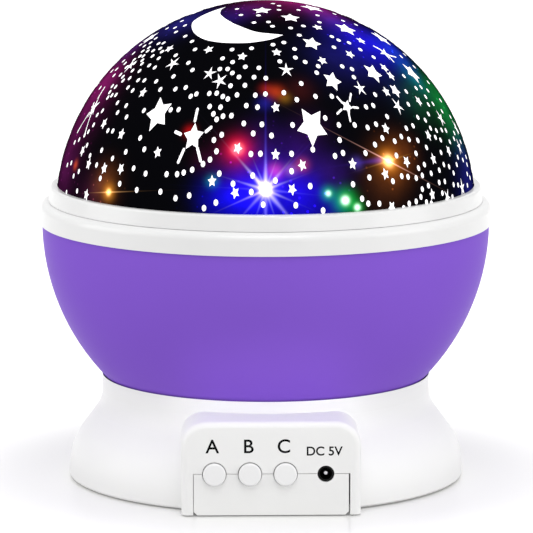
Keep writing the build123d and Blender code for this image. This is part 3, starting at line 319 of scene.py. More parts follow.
# Round dots: photo pixel.
DOTS = (
    # upper left
    (237, 9), (241, 15), (258.5, 15.4), (254, 22.6), (268.5, 22), (182, 21), (185, 25.5), (175, 27.7),
    (167, 28.5), (176, 32), (185.3, 36.2), (192, 41.4), (195, 49.4), (155.8, 38.4), (150.6, 42.8),
    (158.5, 43.6), (163.6, 43), (140.7, 44.8), (144.4, 46), (149, 47.6), (142.8, 51.1), (147.7, 51.1),
    (153.2, 50.7), (160.3, 48.4), (162, 51.7), (133.6, 53.2), (140, 56.2), (143.4, 56), (152.6, 56),
    (158.7, 58.3), (134.3, 59.6), (142.3, 60.3), (142, 63.8), (123.6, 61), (125.2, 63.3), (134.5, 63.3),
    (126.3, 67.2), (132.5, 70.6), (139.5, 71), (149.3, 65.4), (154.8, 67.5), (116.7, 69.2), (112, 71),
    (114, 75.4), (120.5, 74.7), (122.9, 76.8), (123.1, 80.6), (129.7, 78.2), (138.2, 80.2), (144.4, 80.4),
    (156.2, 81.4), (112.3, 86.1), (115.7, 86.8), (100.2, 87.8), (109.8, 92.1), (111.9, 95.3), (116, 94.9),
    (107.8, 97.6), (128, 87.5), (132.7, 90.5), (117.5, 102.8), (126.2, 105.6), (160.3, 89.4), (175.4, 89.1),
    (185.7, 87.5), (173.5, 76.4), (175.7, 55.3), (188.4, 62.8), (192.5, 70), (232, 49.6), (251.5, 48.3),
    (222.6, 58.4), (232.6, 62.1), (219.8, 69.1), (227.6, 69), (232.4, 73), (245.3, 66.8), (258.9, 67.9),
    (239, 77), (254, 77.2), (265.8, 78.2), (244.9, 85.3), (230.5, 85.8), (190.7, 96.3), (196.4, 94),
    (209.3, 93.5), (216.7, 93.2), (222.8, 96.5), (227.8, 99), (237, 94.9), (255.3, 95.2), (265.4, 94),
    (246.3, 105.6), (257.5, 107.2), (209.7, 106.5), (220.5, 107.2), (178.6, 109.6), (170.7, 109.8),
    # upper right
    (273, 3.6), (279, 5.8), (279, 9.9), (298.6, 10), (317.5, 15.4), (319.4, 22.2), (334.5, 14), (343, 20.8),
    (356, 24.7), (272.5, 26.3), (290.6, 28), (303.4, 26), (299.3, 35.2), (331.9, 36.6), (338.6, 40.2),
    (349, 42.8), (334, 47.3), (360.3, 49.6), (283.8, 42.5), (273, 44.7), (294.6, 49), (295.4, 57.6),
    (279.8, 61.4), (305.2, 62), (318.2, 66.2), (316.7, 72.7), (342.2, 66.4), (352, 69.1), (353.9, 77.2),
    (301.2, 83.5), (283.8, 92.7), (296.8, 99.7), (315.5, 96.4), (331.8, 96.3), (366, 106.9), (373.2, 105.5),
    (375.1, 94.6), (408.3, 104.2), (406.2, 91.5), (403.9, 76.1), (373.6, 57.2), (401.2, 56.6),
    (404.6, 54.6), (414.2, 66.8), (416.1, 88.2), (421, 87.1), (427.8, 90.5), (425.7, 96.8), (428.4, 104.5),
    (433, 103.8), (428.2, 82.3), (440.5, 100.4), (428.9, 77.9),
    # lower left
    (143.9, 110.5), (117.6, 112.5), (126.5, 117), (102.5, 110.8), (97.3, 114.9), (93.6, 124.9),
    (107.9, 130.6), (112.8, 131), (88.4, 131.7), (84.6, 135.2), (79.2, 139.6), (74.7, 142.3),
    (140.2, 137.9), (144.3, 149.3), (125.8, 151.9), (101.7, 150.2), (112.5, 158.5), (87, 145.2),
    (90, 155.7), (96.6, 165), (133.6, 168.3), (145.6, 173.6), (100.3, 178.4), (119.7, 183.8), (78.8, 171.5),
    (73.6, 176), (71.3, 162.9), (67.4, 164.9), (77.1, 191), (66.5, 192.3), (136.7, 190), (160.4, 191.7),
    (166.6, 174.2), (177.1, 174.2), (183.7, 172.6), (192.2, 169.7), (203, 164), (210, 159.6),
    (216.5, 151.3), (213.9, 140), (221.7, 134.8), (213.4, 113.9), (216.6, 119.4), (223, 116.2),
    (231.4, 115.7), (243.8, 123.5), (261.9, 124.4), (253.2, 133.5), (250.9, 154), (260.4, 153.7),
    (219.3, 173.6), (233, 183.8), (252.7, 175.6), (251.3, 192), (189.2, 195.5), (175.5, 198.2),
    (204, 208.1), (215.9, 202.6),
    # lower right
    (292.6, 125), (325.2, 118), (338.9, 125), (354.7, 125), (367.6, 127.5), (376, 124.2), (387.1, 116.6),
    (406.3, 128.2), (413, 125.8), (417.8, 117.3), (425.3, 120.2), (428.4, 114), (430.5, 128.2),
    (436.4, 130.5), (441.7, 130), (445.9, 130.5), (435.4, 137.3), (440.6, 140), (449.8, 141.8),
    (454, 138.7), (460.6, 141.8), (454.3, 133), (458.1, 131.7), (450.4, 116.9), (442, 111.3), (382.4, 138),
    (394.7, 141.2), (401.3, 136.6), (409, 139.4), (417.8, 140.4), (375, 144.6), (339.6, 140),
    (271.5, 135.6), (312.8, 149.5), (291.6, 153.8), (335, 156), (343, 153), (365.5, 153.1), (416, 153.4),
    (396.4, 155.5), (426.5, 147.4), (441, 152.4), (457.8, 157.2), (462.9, 160), (466, 156.9), (467, 164.6),
    (456.7, 164.6), (449.1, 166.7), (443.8, 164.6), (453.6, 173), (439.3, 170.2), (431.2, 173.3),
    (424.4, 164.6), (418.5, 168.1), (422.3, 175.4), (416.2, 178), (408, 176.8), (401.7, 176.1),
    (392.9, 181.2), (369.4, 177.5), (353, 184.3), (310.2, 186.1), (291.6, 171.2), (275.4, 180.6),
    (368.3, 203.6), (379.3, 203.6), (362.1, 198.7), (323.1, 210.5), (295.8, 205.3), (263.2, 204.6),
    (428.4, 185.7), (422.3, 189.2), (420.9, 196.9), (416.2, 201.5), (409.2, 203.6), (426.5, 202.1),
    (431.5, 203.2), (442.4, 193.1), (439.2, 182.5), (444.8, 181.5), (453.6, 184.7), (458.1, 185),
    (467.4, 185.3), (467.2, 174), (470, 177.7), (452.5, 196.9), (403.8, 208.1),
)
DOT_R = 0.73 * MM
EDGE_DOT = 0.7                 # size of the dots at the dome's outline, as a share of those in the middle
SMALL_STAR_R = 1.45 * MM
# Kinds of star: waist as a share of the reach, rings of faces.
BIG_KIND = (0.53, 4)
SMALL_KIND = (0.5, 2)
THIN_KIND = (0.28, 3)
STAR_PERIOD = 72               # degrees after which a five-pointed star looks the same
SMALL_TURN = 23                # degrees between one small star's tilt and the next one's
THIN_TURN = 31
RAY_RINGS = 2
MOON_EVERY = 4                 # the crescent keeps the print away from every fourth point of its edge
MOON_CLEAR = 3 * MM
BACK_SEED = 7
PLACE_TRIES = 30
PRINT_GAP = 0.7 * MM
BACK_EDGE = 0.1                # cosine of the angle from the camera's side at which this print starts
# Stars on the back: how many, least and greatest reach in mm, kind.
BACK_STARS = ((26, 2.4, 4.8, BIG_KIND), (22, 2.0, 2.6, THIN_KIND), (60, 1.3, 1.6, SMALL_KIND))
BACK_DOTS = 420
BACK_DOT_R = (0.62, 0.78)      # least and greatest, in mm
PRINT_LOW = 0.1                # height of the lowest and highest print, as shares of the dome's radius
PRINT_TOP = 0.99


def add_star(bm, normal, reach, tilt, kind, taken):
    """A star on the dome, which also takes its place from later ones."""
    waist, rings = kind
    add_patch(bm, normal, star_outline(reach, waist, tilt), rings)
    taken.append((normal, reach))


def front_print(dots, stars, taken):
    """The print on the side that faces the camera."""
    for px, py, reach, tilt in BIG_STARS:
        add_star(stars, dome_direction(px, py), reach * PIXEL, tilt, BIG_KIND, taken)
    for k, (px, py) in enumerate(SMALL_STARS):
        tilt = SMALL_TURN * k % STAR_PERIOD
        add_star(stars, dome_direction(px, py), SMALL_STAR_R, tilt, SMALL_KIND, taken)
    for k, (px, py, reach) in enumerate(THIN_STARS):
        tilt = THIN_TURN * k % STAR_PERIOD
        add_star(stars, dome_direction(px, py), reach * PIXEL, tilt, THIN_KIND, taken)
    for start, end, half_width in RAYS:
        first, last = dome_direction(*start), dome_direction(*end)
        normal = (first + last).normalized()
        right, up = tangent_frame(normal)
        run = last - first
        lean = math.degrees(math.atan2(run.dot(up), run.dot(right))) - 90
        half = run.length * DOME_R / 2
        add_patch(stars, normal, turned(bar_outline(half, half_width * MM), lean), RAY_RINGS)
        taken.append((normal, half))
    facing = (camera.location - DOME_CENTRE).normalized()
    for px, py in DOTS:
        normal = dome_direction(px, py)
        radius = DOT_R * (EDGE_DOT + (1 - EDGE_DOT) * normal.dot(facing))
        add_patch(dots, normal, disc_outline(radius), 1)
        taken.append((normal, radius))


def free_place(draw, reach, taken):
    """A direction on the side that faces away, clear of all print so far, or None after some tries."""
    facing = (camera.location - DOME_CENTRE).normalized()
    for _ in range(PLACE_TRIES):
        height = draw.uniform(PRINT_LOW, PRINT_TOP)
        normal = direction_at(height, draw.uniform(0, 2 * math.pi))
        if normal.dot(facing) > BACK_EDGE:
            continue
        if height * DOME_R < PRINT_LOW * DOME_R + reach:
            continue
        if all((normal - other).length * DOME_R > reach + size + PRINT_GAP for other, size in taken):
            return normal
    return None


def back_print(dots, stars, taken):
    """Stars and dots scattered with a fixed seed over the side that faces away."""
    draw = random.Random(BACK_SEED)
    for count, low, high, kind in BACK_STARS:
        for _ in range(count):
            reach = draw.uniform(low, high) * MM
            normal = free_place(draw, reach, taken)
            if normal:
                add_star(stars, normal, reach, draw.uniform(0, STAR_PERIOD), kind, taken)
    for _ in range(BACK_DOTS):
        radius = draw.uniform(*BACK_DOT_R) * MM
        normal = free_place(draw, radius, taken)
        if normal:
            add_patch(dots, normal, disc_outline(radius), 1)
            taken.append((normal, radius))


# ================================ materials ================================

MIX_COLOURS = (6, 7)           # the colour inputs of a Mix node
MIX_RESULT = 2
MOTTLE_SCALE = 55.0            # scales of the noises in moulded plastic, per metre
FLOW_SCALE = 240.0
GRAIN_SCALE = 9000.0
GRAIN_SHARE = 0.35             # the grain's depth as a share of the flow marks'
PLASTIC_SPREAD = 0.018         # how far a plastic's colour and roughness vary
PLASTIC_ROUGH_SPREAD = 0.04
METAL_SPREAD = 0.08
TRACE_SCALE = 420.0            # a circuit board's traces: scale per metre, spacing and edge
TRACE_SPACING = 0.16
TRACE_EDGE = 0.11
CELL_BODY = 13.0 * MM          # half lengths of a cell's dark body and of its whole sleeve
CELL_SLEEVE = 20.75 * MM
CELL_RAMP = 25.0 * MM          # half length that the sleeve's colour ramp spans


def make_node(tree, kind, inputs=None, **settings):
    """Add a shader node; inputs are constants or sockets, by name or number."""
    node = tree.nodes.new("ShaderNode" + kind)
    for name, value in settings.items():
        setattr(node, name, value)
    for key, value in (inputs or {}).items():
        if isinstance(value, bpy.types.NodeSocket):
            tree.links.new(value, node.inputs[key])
        else:
            node.inputs[key].default_value = value
    return node


def maths(tree, operation, *values):
    return make_node(tree, "Math", dict(enumerate(values)), operation=operation).outputs[0]


def vector_maths(tree, operation, *values):
    node = make_node(tree, "VectorMath", dict(enumerate(values)), operation=operation)
    return node.outputs["Value"] if operation in ("DOT_PRODUCT", "LENGTH") else node.outputs["Vector"]


def start_material(name, **constants):
    """A material with its principled shader; constants are set on the shader's own sockets."""
    material = bpy.data.materials.new(name)
    material.use_nodes = True
    tree = material.node_tree
    shader = tree.nodes["Principled BSDF"]
    for key, value in constants.items():
        shader.inputs[key.replace("_", " ")].default_value = value
    return material, tree, shader


def rgb(*screen):
    """Linear colour from the usual 0 to 255 screen values."""
    linear = [v / 255 / 12.92 if v <= 10 else ((v / 255 + 0.055) / 1.055) ** 2.4 for v in screen]
    return (*linear, 1.0)


def scaled(colour, factor):
    """The colour made lighter or darker."""
    return (*[min(1.0, c * factor) for c in colour[:3]], 1.0)


def noise(tree, coords, scale, detail=2.0, roughness=0.5):
    return make_node(tree, "TexNoise", {"Vector": coords, "Scale": scale, "Detail": detail,
                                        "Roughness": roughness}).outputs["Fac"]


def ranged(tree, value, to_min, to_max, from_min=0.0, from_max=1.0, **settings):
    """The value carried from one range to another, and held within it."""
    return make_node(tree, "MapRange", {"Value": value, "From Min": from_min, "From Max": from_max,
                                        "To Min": to_min, "To Max": to_max}, **settings).outputs["Result"]


def blended(tree, fac, low, high):
    """A colour between two."""
    inputs = {"Factor": fac, **dict(zip(MIX_COLOURS, (low, high)))}
    return make_node(tree, "Mix", inputs, data_type="RGBA").outputs[MIX_RESULT]


def brightened(tree, vector, factor):
    return make_node(tree, "VectorMath", {0: vector, "Scale": factor}, operation="SCALE").outputs["Vector"]


def add_bump(tree, shader, height, strength, distance):
    bump = make_node(tree, "Bump", {"Height": height, "Strength": strength, "Distance": distance})
    tree.links.new(bump.outputs["Normal"], shader.inputs["Normal"])


def vary(tree, shader, fac, colour, spread, roughness, rough_spread):
    """Drive colour and roughness a little either side of their middles."""
    tint = blended(tree, fac, scaled(colour, 1 - spread), scaled(colour, 1 + spread))
    tree.links.new(tint, shader.inputs["Base Color"])
    rough = ranged(tree, fac, roughness - rough_spread, roughness + rough_spread)
    tree.links.new(rough, shader.inputs["Roughness"])


def object_coords(tree):
    return make_node(tree, "TexCoord").outputs["Object"]


def moulded(name, colour, roughness, grain=GRAIN_SCALE, depth=0.012, coat=0.0, specular=0.5):
    """Moulded plastic: a faint mottle, a fine surface grain and a few flow marks, with its depth in mm."""
    material, tree, shader = start_material(name, Specular_IOR_Level=specular, Coat_Weight=coat,
                                            Coat_Roughness=0.12)
    coords = object_coords(tree)
    mottle = noise(tree, coords, MOTTLE_SCALE, detail=3.0)
    vary(tree, shader, mottle, colour, PLASTIC_SPREAD, roughness, PLASTIC_ROUGH_SPREAD)
    flow = noise(tree, coords, FLOW_SCALE)
    fine = noise(tree, coords, grain, detail=1.0)
    height = maths(tree, "MULTIPLY_ADD", fine, GRAIN_SHARE, flow)
    add_bump(tree, shader, height, strength=0.25, distance=depth * MM)
    return material


def brushed(name, colour, roughness, stretch=(60, 60, 4000)):
    """Plated or rolled metal with fine lines, drawn out where the stretch is small."""
    material, tree, shader = start_material(name, Metallic=1.0)
    coords = object_coords(tree)
    lines = make_node(tree, "Mapping", {"Vector": coords, "Scale": stretch}).outputs["Vector"]
    grain = noise(tree, lines, 1.0, detail=3.0)
    vary(tree, shader, grain, colour, METAL_SPREAD, roughness, METAL_SPREAD)
    add_bump(tree, shader, grain, strength=0.3, distance=0.01 * MM)
    return material


def epoxy(name, colour, glow):
    """Tinted clear epoxy of an LED, lit from inside."""
    material, tree, shader = start_material(name, Transmission_Weight=0.55, IOR=1.5, Emission_Strength=glow,
                                            Emission_Color=colour)
    coords = object_coords(tree)
    vary(tree, shader, noise(tree, coords, 900.0), colour, spread=0.05, roughness=0.08, rough_spread=0.03)
    return material


def circuit_board(name, colour, trace_colour):
    """Solder mask with copper traces that show through."""
    material, tree, shader = start_material(name, Coat_Weight=0.4, Coat_Roughness=0.15)
    coords = object_coords(tree)
    cells = make_node(tree, "TexVoronoi", {"Vector": coords, "Scale": TRACE_SCALE}, distance="CHEBYCHEV",
                      feature="F2")
    edge = maths(tree, "PINGPONG", cells.outputs["Distance"], TRACE_SPACING)
    trace = maths(tree, "GREATER_THAN", edge, TRACE_EDGE)
    tree.links.new(blended(tree, trace, colour, trace_colour), shader.inputs["Base Color"])
    tree.links.new(ranged(tree, noise(tree, coords, 300.0), 0.3, 0.45), shader.inputs["Roughness"])
    add_bump(tree, shader, trace, strength=0.4, distance=0.02 * MM)
    return material


def cell_sleeve():
    """Printed sleeve of a battery cell: a dark body, a warm band and bare steel at both ends."""
    material, tree, shader = start_material("cell_sleeve", Coat_Weight=0.5, Coat_Roughness=0.1)
    coords = object_coords(tree)
    along = make_node(tree, "SeparateXYZ", {0: coords}).outputs["X"]
    reach = maths(tree, "ABSOLUTE", along)
    band = make_node(tree, "ValToRGB", {"Fac": maths(tree, "MULTIPLY", reach, 1 / CELL_RAMP)})
    ramp = band.color_ramp
    ramp.interpolation = "CONSTANT"
    ramp.elements[0].color = rgb(32, 58, 104)
    ramp.elements[1].position = CELL_BODY / CELL_RAMP
    ramp.elements[1].color = rgb(206, 148, 62)
    steel = ramp.elements.new(CELL_SLEEVE / CELL_RAMP)
    steel.color = rgb(190, 190, 192)
    tree.links.new(band.outputs["Color"], shader.inputs["Base Color"])
    metal = maths(tree, "GREATER_THAN", reach, CELL_SLEEVE)
    tree.links.new(metal, shader.inputs["Metallic"])
    wrinkle = noise(tree, coords, 700.0)
    tree.links.new(ranged(tree, wrinkle, 0.22, 0.36), shader.inputs["Roughness"])
    add_bump(tree, shader, wrinkle, strength=0.2, distance=0.03 * MM)
    return material


# Photo pixels of the lights that show as points in the dome.
WHITE_LIGHT = (265.6, 189.8)
AMBER_LIGHT = (388.4, 161)
SMALL_AMBER_LIGHT = (108.6, 192.2)
VIOLET_STREAK = (380, 160)       # just beside the amber light
RED_LIGHT = (237.6, 149)
GREEN_LIGHTS = ((328.3, 193.4), (345.4, 200.4), (357.4, 207.4))
# Painted glows in the dome: photo pixel, spread in pixels, colour, strength.
GLOWS = (
    # broad clouds
    (86, 112, 24, (96, 16, 76), 0.9), (66, 165, 22, (76, 14, 66), 0.9), (106, 82, 18, (116, 20, 84), 1.1),
    (100, 74, 12, (120, 24, 90), 0.6), (132, 50, 14, (70, 24, 92), 0.8), (92, 192, 16, (62, 14, 50), 0.5),
    (290, 2, 26, (128, 22, 84), 1.0), (252, 8, 14, (76, 16, 90), 0.8), (182, 22, 20, (34, 30, 112), 1.0),
    (232, 16, 14, (30, 14, 92), 0.8), (318, 10, 14, (120, 26, 130), 0.8), (334, 20, 16, (76, 34, 140), 0.7),
    (366, 42, 22, (24, 18, 204), 1.1), (388, 46, 14, (22, 32, 180), 0.9), (342, 56, 22, (24, 22, 104), 0.7),
    (402, 60, 13, (18, 60, 160), 0.9), (414, 78, 11, (12, 100, 110), 0.8),
    (436, 94, 18, (12, 108, 46), 1.1), (450, 122, 18, (12, 92, 40), 0.9), (418, 100, 17, (10, 62, 34), 0.8),
    (400, 92, 14, (16, 20, 60), 0.5), (464, 158, 15, (26, 22, 104), 0.8),
    (468, 190, 18, (20, 22, 108), 0.9), (222, 198, 14, (10, 6, 190), 0.8),
    (244, 196, 14, (16, 8, 235), 0.8), (266, 198, 16, (24, 12, 250), 0.9),
    (300, 198, 15, (26, 8, 236), 0.9), (332, 206, 10, (18, 8, 150), 0.7),
    (262, 170, 13, (48, 16, 190), 0.6), (296, 158, 17, (58, 14, 130), 0.5),
    (236, 158, 13, (90, 12, 84), 0.5), (332, 172, 12, (54, 20, 120), 0.5),
    (262, 138, 13, (44, 10, 96), 0.45), (300, 90, 9, (70, 18, 14), 0.5), (310, 128, 12, (50, 12, 60), 0.4),
    # the small cloud of mixed colours above the middle
    (276, 92, 5, (200, 60, 22), 0.7), (266, 89, 4, (170, 34, 26), 0.6), (285, 98, 4, (150, 104, 20), 0.5),
    (265, 103, 5, (34, 30, 150), 0.6),
    # lamps that show as points
    (*AMBER_LIGHT, 3.3, (255, 226, 150), 3.0), (*AMBER_LIGHT, 6.5, (255, 150, 30), 0.9),
    (392, 162, 14, (160, 82, 22), 0.55), (384, 184, 16, (84, 42, 16), 0.45),
    (404, 154, 12, (116, 56, 16), 0.4), (*SMALL_AMBER_LIGHT, 1.9, (255, 214, 130), 2.6),
    (108.6, 192, 5, (240, 150, 44), 0.8), (104, 184, 12, (124, 66, 18), 0.7),
    (75.5, 165, 3.2, (205, 74, 26), 0.8), (*RED_LIGHT, 3.2, (255, 150, 150), 1.5),
    (*RED_LIGHT, 7.5, (240, 14, 46), 1.1), (238, 152, 12, (136, 10, 60), 0.5),
    (189.5, 131, 3.8, (200, 16, 20), 0.7), (203, 160, 8, (70, 8, 40), 0.3),
    (275, 171, 5, (225, 70, 140), 0.7), (212, 181, 4, (20, 150, 150), 0.5),
    (357, 163, 4, (90, 70, 190), 0.5), (302, 165, 4.5, (225, 80, 60), 0.5),
    (291, 170, 4, (190, 110, 190), 0.5), (*GREEN_LIGHTS[0], 1.6, (200, 255, 225), 2.2),
    (*GREEN_LIGHTS[0], 4, (10, 190, 80), 0.8), (*GREEN_LIGHTS[1], 2.4, (225, 255, 235), 3.0),
    (*GREEN_LIGHTS[1], 6.5, (8, 200, 60), 1.0), (*GREEN_LIGHTS[2], 1.9, (210, 255, 225), 2.4),
    (*GREEN_LIGHTS[2], 4.2, (8, 180, 60), 0.8), (*WHITE_LIGHT, 2.9, (255, 250, 235), 4.0),
    (*WHITE_LIGHT, 6, (150, 130, 255), 0.7),
)
# Straight flares: photo pixel that they start from, and for each its angle, reach and half width in pixels,
# colour and strength.
FLARES = (
    (WHITE_LIGHT, (
        (90, 32, 2.2, (70, 54, 255), 0.9), (90, 9, 3.0, (255, 250, 240), 2.4),
        (270, 16, 2.6, (160, 150, 255), 1.4), (131, 14, 2.6, (196, 176, 255), 1.6),
        (131, 9, 3.2, (255, 244, 230), 2.4), (311, 14, 3.0, (196, 186, 255), 1.9),
        (46, 17, 2.2, (90, 74, 255), 0.8), (50, 8, 3.0, (255, 248, 236), 2.0),
        (228, 11, 2.4, (200, 186, 255), 1.2), (177, 15, 1.6, (110, 100, 255), 0.8),
        (204, 11, 1.8, (255, 226, 190), 1.4), (163, 9, 2.2, (255, 240, 220), 1.8),
        (354, 12, 1.8, (150, 140, 255), 1.0), (21, 8, 2.2, (255, 236, 214), 1.5),
        (337, 8, 2.2, (255, 236, 214), 1.5), (112, 7, 2.0, (236, 230, 255), 1.5),
        (70, 7, 2.0, (236, 230, 255), 1.4), (289, 7, 2.0, (236, 230, 255), 1.3),
        (250, 7, 2.0, (236, 230, 255), 1.3),
    )),
    (AMBER_LIGHT, (
        (152.5, 26, 0.75, (255, 186, 172), 1.2), (332.5, 22, 0.75, (255, 190, 170), 1.2),
        (18, 8, 1.6, (255, 196, 90), 1.2), (198, 8, 1.6, (255, 190, 90), 1.0),
    )),
    (VIOLET_STREAK, ((188, 16, 3.0, (74, 40, 190), 0.6),)),
    (SMALL_AMBER_LIGHT, (
        (2, 14, 0.9, (255, 190, 120), 1.0), (182, 11, 0.9, (255, 190, 120), 1.0),
    )),
)
FLARE_STEP = 4                 # pixels between the two points that give a flare's line
FLARE_TAPER = 0.6              # how fast a flare narrows along its reach
FLARE_BACK = 5.0               # how much faster it fades behind its start
FLARE_SIDE = 0.6               # cosine of the angle from its start past which it is cut off
FLARE_CUT = 60.0               # how sharply, so that none shows on the dome's far side
POINT_SPREAD = 9               # pixels; wider glows are cloudy, narrower ones are clean
CLOUD_SCALE = 70.0             # scale of the clouds' billows, per metre
CLOUD_DETAIL = 5.0
CLOUD_ROUGHNESS = 0.62
CLOUD_NOISE = (0.25, 0.75)     # range of the noise that the gain below spans
CLOUD_GAIN = (0.45, 1.35)
SPECK_SCALE = 420.0
SPECK_GAIN = 3.0
SPECK_CORE = 0.08              # distances from a speck's middle at which it starts and ends to fade
SPECK_EDGE = 0.18
SPECK_SHARE = 0.45             # share of the cells with a speck
BACK_GLOW_SEED = 11
BACK_GLOW_TRIES = 60
BACK_GLOW_APART = 0.5          # radians
BACK_GLOW_FACING = -0.3        # keeps these glows off the outline that the photograph shows
BACK_GLOW_HEIGHT = (0.1, 0.85)
BACK_GLOW_SPREAD = (14, 24)    # pixels
BACK_GLOW_POWER = (0.6, 1.0)
BACK_POINT_SPREAD = 3          # pixels; each of the first glows has a bright point
BACK_POINT_POWER = 2.2
BACK_POINT_PALER = 90
BACK_GLOW_COLOURS = ((120, 24, 92), (26, 18, 196), (16, 132, 44), (8, 2, 250), (150, 84, 22), (236, 20, 66))


def back_glows():
    """Clouds and points of light for the side that faces away: (direction, spread, colour, strength)."""
    draw = random.Random(BACK_GLOW_SEED)
    facing = (camera.location - DOME_CENTRE).normalized()
    found = []
    for _ in range(BACK_GLOW_TRIES):
        height = draw.uniform(*BACK_GLOW_HEIGHT)
        normal = direction_at(height, draw.uniform(0, math.pi))
        if normal.dot(facing) > BACK_GLOW_FACING:
            continue
        if any(normal.angle(other[0]) < BACK_GLOW_APART for other in found):
            continue
        colour = BACK_GLOW_COLOURS[len(found) % len(BACK_GLOW_COLOURS)]
        spread = draw.uniform(*BACK_GLOW_SPREAD) * PIXEL
        found.append((normal, spread, colour, draw.uniform(*BACK_GLOW_POWER)))
    for normal, _, colour, _ in found[:len(BACK_GLOW_COLOURS)]:
        paler = [min(255, c + BACK_POINT_PALER) for c in colour]
        found.append((normal, BACK_POINT_SPREAD * PIXEL, paler, BACK_POINT_POWER))
    return found


def glow_fade(tree, heading, normal, spread):
    """Bell curve round a direction."""
    sharpness = (DOME_R / spread) ** 2
    near = vector_maths(tree, "DOT_PRODUCT", heading, normal)
    return maths(tree, "EXPONENT", maths(tree, "MULTIPLY_ADD", near, sharpness, -sharpness))


def flare_axes(px, py, angle):
    """A flare's start, its way along the dome, and the normal of the plane that shows it as a line."""
    turn = math.radians(angle)
    end = (px + FLARE_STEP * math.cos(turn), py - FLARE_STEP * math.sin(turn))
    start = dome_direction(px, py)
    along = (dome_direction(*end) - start).normalized()
    return start, along, photo_ray(px, py).cross(photo_ray(*end)).normalized()


def flare_fade(tree, heading, place, angle, reach, width):
    """Thin line that starts at a photo pixel, narrows and fades."""
    start, along, across = flare_axes(*place, angle)
    along = along * (DOME_R / (reach * PIXEL))
    across = across * (DOME_R / (width * PIXEL))
    a = maths(tree, "SUBTRACT", vector_maths(tree, "DOT_PRODUCT", heading, along), start.dot(along))
    a = maths(tree, "MAXIMUM", a, maths(tree, "MULTIPLY", a, -FLARE_BACK))
    b = maths(tree, "SUBTRACT", vector_maths(tree, "DOT_PRODUCT", heading, across), start.dot(across))
    b = maths(tree, "MULTIPLY", b, maths(tree, "MULTIPLY_ADD", a, FLARE_TAPER, 1.0))
    fall = maths(tree, "MULTIPLY_ADD", b, b, a)
    behind = maths(tree, "SUBTRACT", FLARE_SIDE, vector_maths(tree, "DOT_PRODUCT", heading, start))
    fall = maths(tree, "MULTIPLY_ADD", maths(tree, "MAXIMUM", behind, 0.0), FLARE_CUT, fall)
    return maths(tree, "EXPONENT", maths(tree, "MULTIPLY", fall, -1.0))


def add_light(tree, total, colour, power, fade):
    """A sum of lights, None at first, with one more."""
    lit = brightened(tree, Vector(rgb(*colour)[:3]) * power, fade)
    return lit if total is None else vector_maths(tree, "ADD", total, lit)


def cloud_gain(tree, coords):
    """Brightness of the broad clouds: billows, and a few bright specks."""
    billows = noise(tree, coords, CLOUD_SCALE, CLOUD_DETAIL, CLOUD_ROUGHNESS)
    gain = ranged(tree, billows, *CLOUD_GAIN, *CLOUD_NOISE)
    cells = make_node(tree, "TexVoronoi", {"Vector": coords, "Scale": SPECK_SCALE})
    speck = ranged(tree, cells.outputs["Distance"], SPECK_GAIN, 0.0, SPECK_CORE, SPECK_EDGE)
    chosen = make_node(tree, "SeparateColor", {"Color": cells.outputs["Color"]}).outputs["Red"]
    speck = maths(tree, "MULTIPLY", speck, maths(tree, "LESS_THAN", chosen, SPECK_SHARE))
    return maths(tree, "ADD", gain, speck)


def dome_print_and_glow_material():
    """Black printed shell with painted coloured light in it: every glow is placed on the dome itself."""
    material, tree, shader = start_material("black_print_and_painted_glow", Specular_IOR_Level=0.0, Roughness=0.3,
                                            Emission_Strength=1.0)
    shader.inputs["Base Color"].default_value = rgb(7, 7, 10)
    coords = object_coords(tree)
    heading = vector_maths(tree, "NORMALIZE", vector_maths(tree, "SUBTRACT", coords, DOME_CENTRE))
    front_glows = [(dome_direction(px, py), spread * PIXEL, colour, power)
                   for px, py, spread, colour, power in GLOWS]
    clouds = None
    points = None
    for normal, spread, colour, power in front_glows + back_glows():
        fade = glow_fade(tree, heading, normal, spread)
        if spread > POINT_SPREAD * PIXEL:
            clouds = add_light(tree, clouds, colour, power, fade)
        else:
            points = add_light(tree, points, colour, power, fade)
    for place, flares in FLARES:
        for angle, reach, width, colour, power in flares:
            fade = flare_fade(tree, heading, place, angle, reach, width)
            points = add_light(tree, points, colour, power, fade)
    clouds = brightened(tree, clouds, cloud_gain(tree, coords))
    tree.links.new(vector_maths(tree, "ADD", clouds, points), shader.inputs["Emission Color"])
    return material


def lit_window():
    """Clear places of the print, lit white from inside."""
    material, tree, shader = start_material("lit_window", Specular_IOR_Level=0.3, Emission_Strength=0.6)
    coords = object_coords(tree)
    soft = noise(tree, coords, 160.0)
    vary(tree, shader, soft, rgb(240, 238, 240), spread=0.02, roughness=0.3, rough_spread=0.05)
    glow = blended(tree, soft, rgb(250, 242, 252), rgb(255, 255, 255))
    tree.links.new(glow, shader.inputs["Emission Color"])
    return material


FLOOR_HALF = 3.0
FLOOR_NEAR = 64 * MM           # painted white light on the floor grows between these reaches from the lamp's axis, weaker near the lamp so the floor is darker there
FLOOR_FAR = 135 * MM
FLOOR_PAINTED_LIGHT = (0.14, 0.55)      # its strength at both


def seen_plain(tree):
    """1 for the rays that show the background: from the camera, or by way of gloss or glass."""
    path = make_node(tree, "LightPath")
    seen = maths(tree, "MAXIMUM", path.outputs["Is Camera Ray"], path.outputs["Is Glossy Ray"])
    return maths(tree, "MAXIMUM", seen, path.outputs["Is Transmission Ray"])


def floor_material():
    """White studio floor that keeps the lamp's shadow and a faint reflection of it; its painted white light
    is weaker near the lamp and stronger further out.
    """
    material, tree, shader = start_material("studio_floor", Roughness=0.22, Specular_IOR_Level=0.5)
    shader.inputs["Base Color"].default_value = rgb(218, 218, 216)
    reach = vector_maths(tree, "LENGTH", object_coords(tree))
    painted_light = ranged(tree, reach, *FLOOR_PAINTED_LIGHT, FLOOR_NEAR, FLOOR_FAR, interpolation_type="SMOOTHSTEP")
    shader.inputs["Emission Color"].default_value = (1, 1, 1, 1)
    tree.links.new(maths(tree, "MULTIPLY", seen_plain(tree), painted_light), shader.inputs["Emission Strength"])
    return material


# ================================ pieces ================================

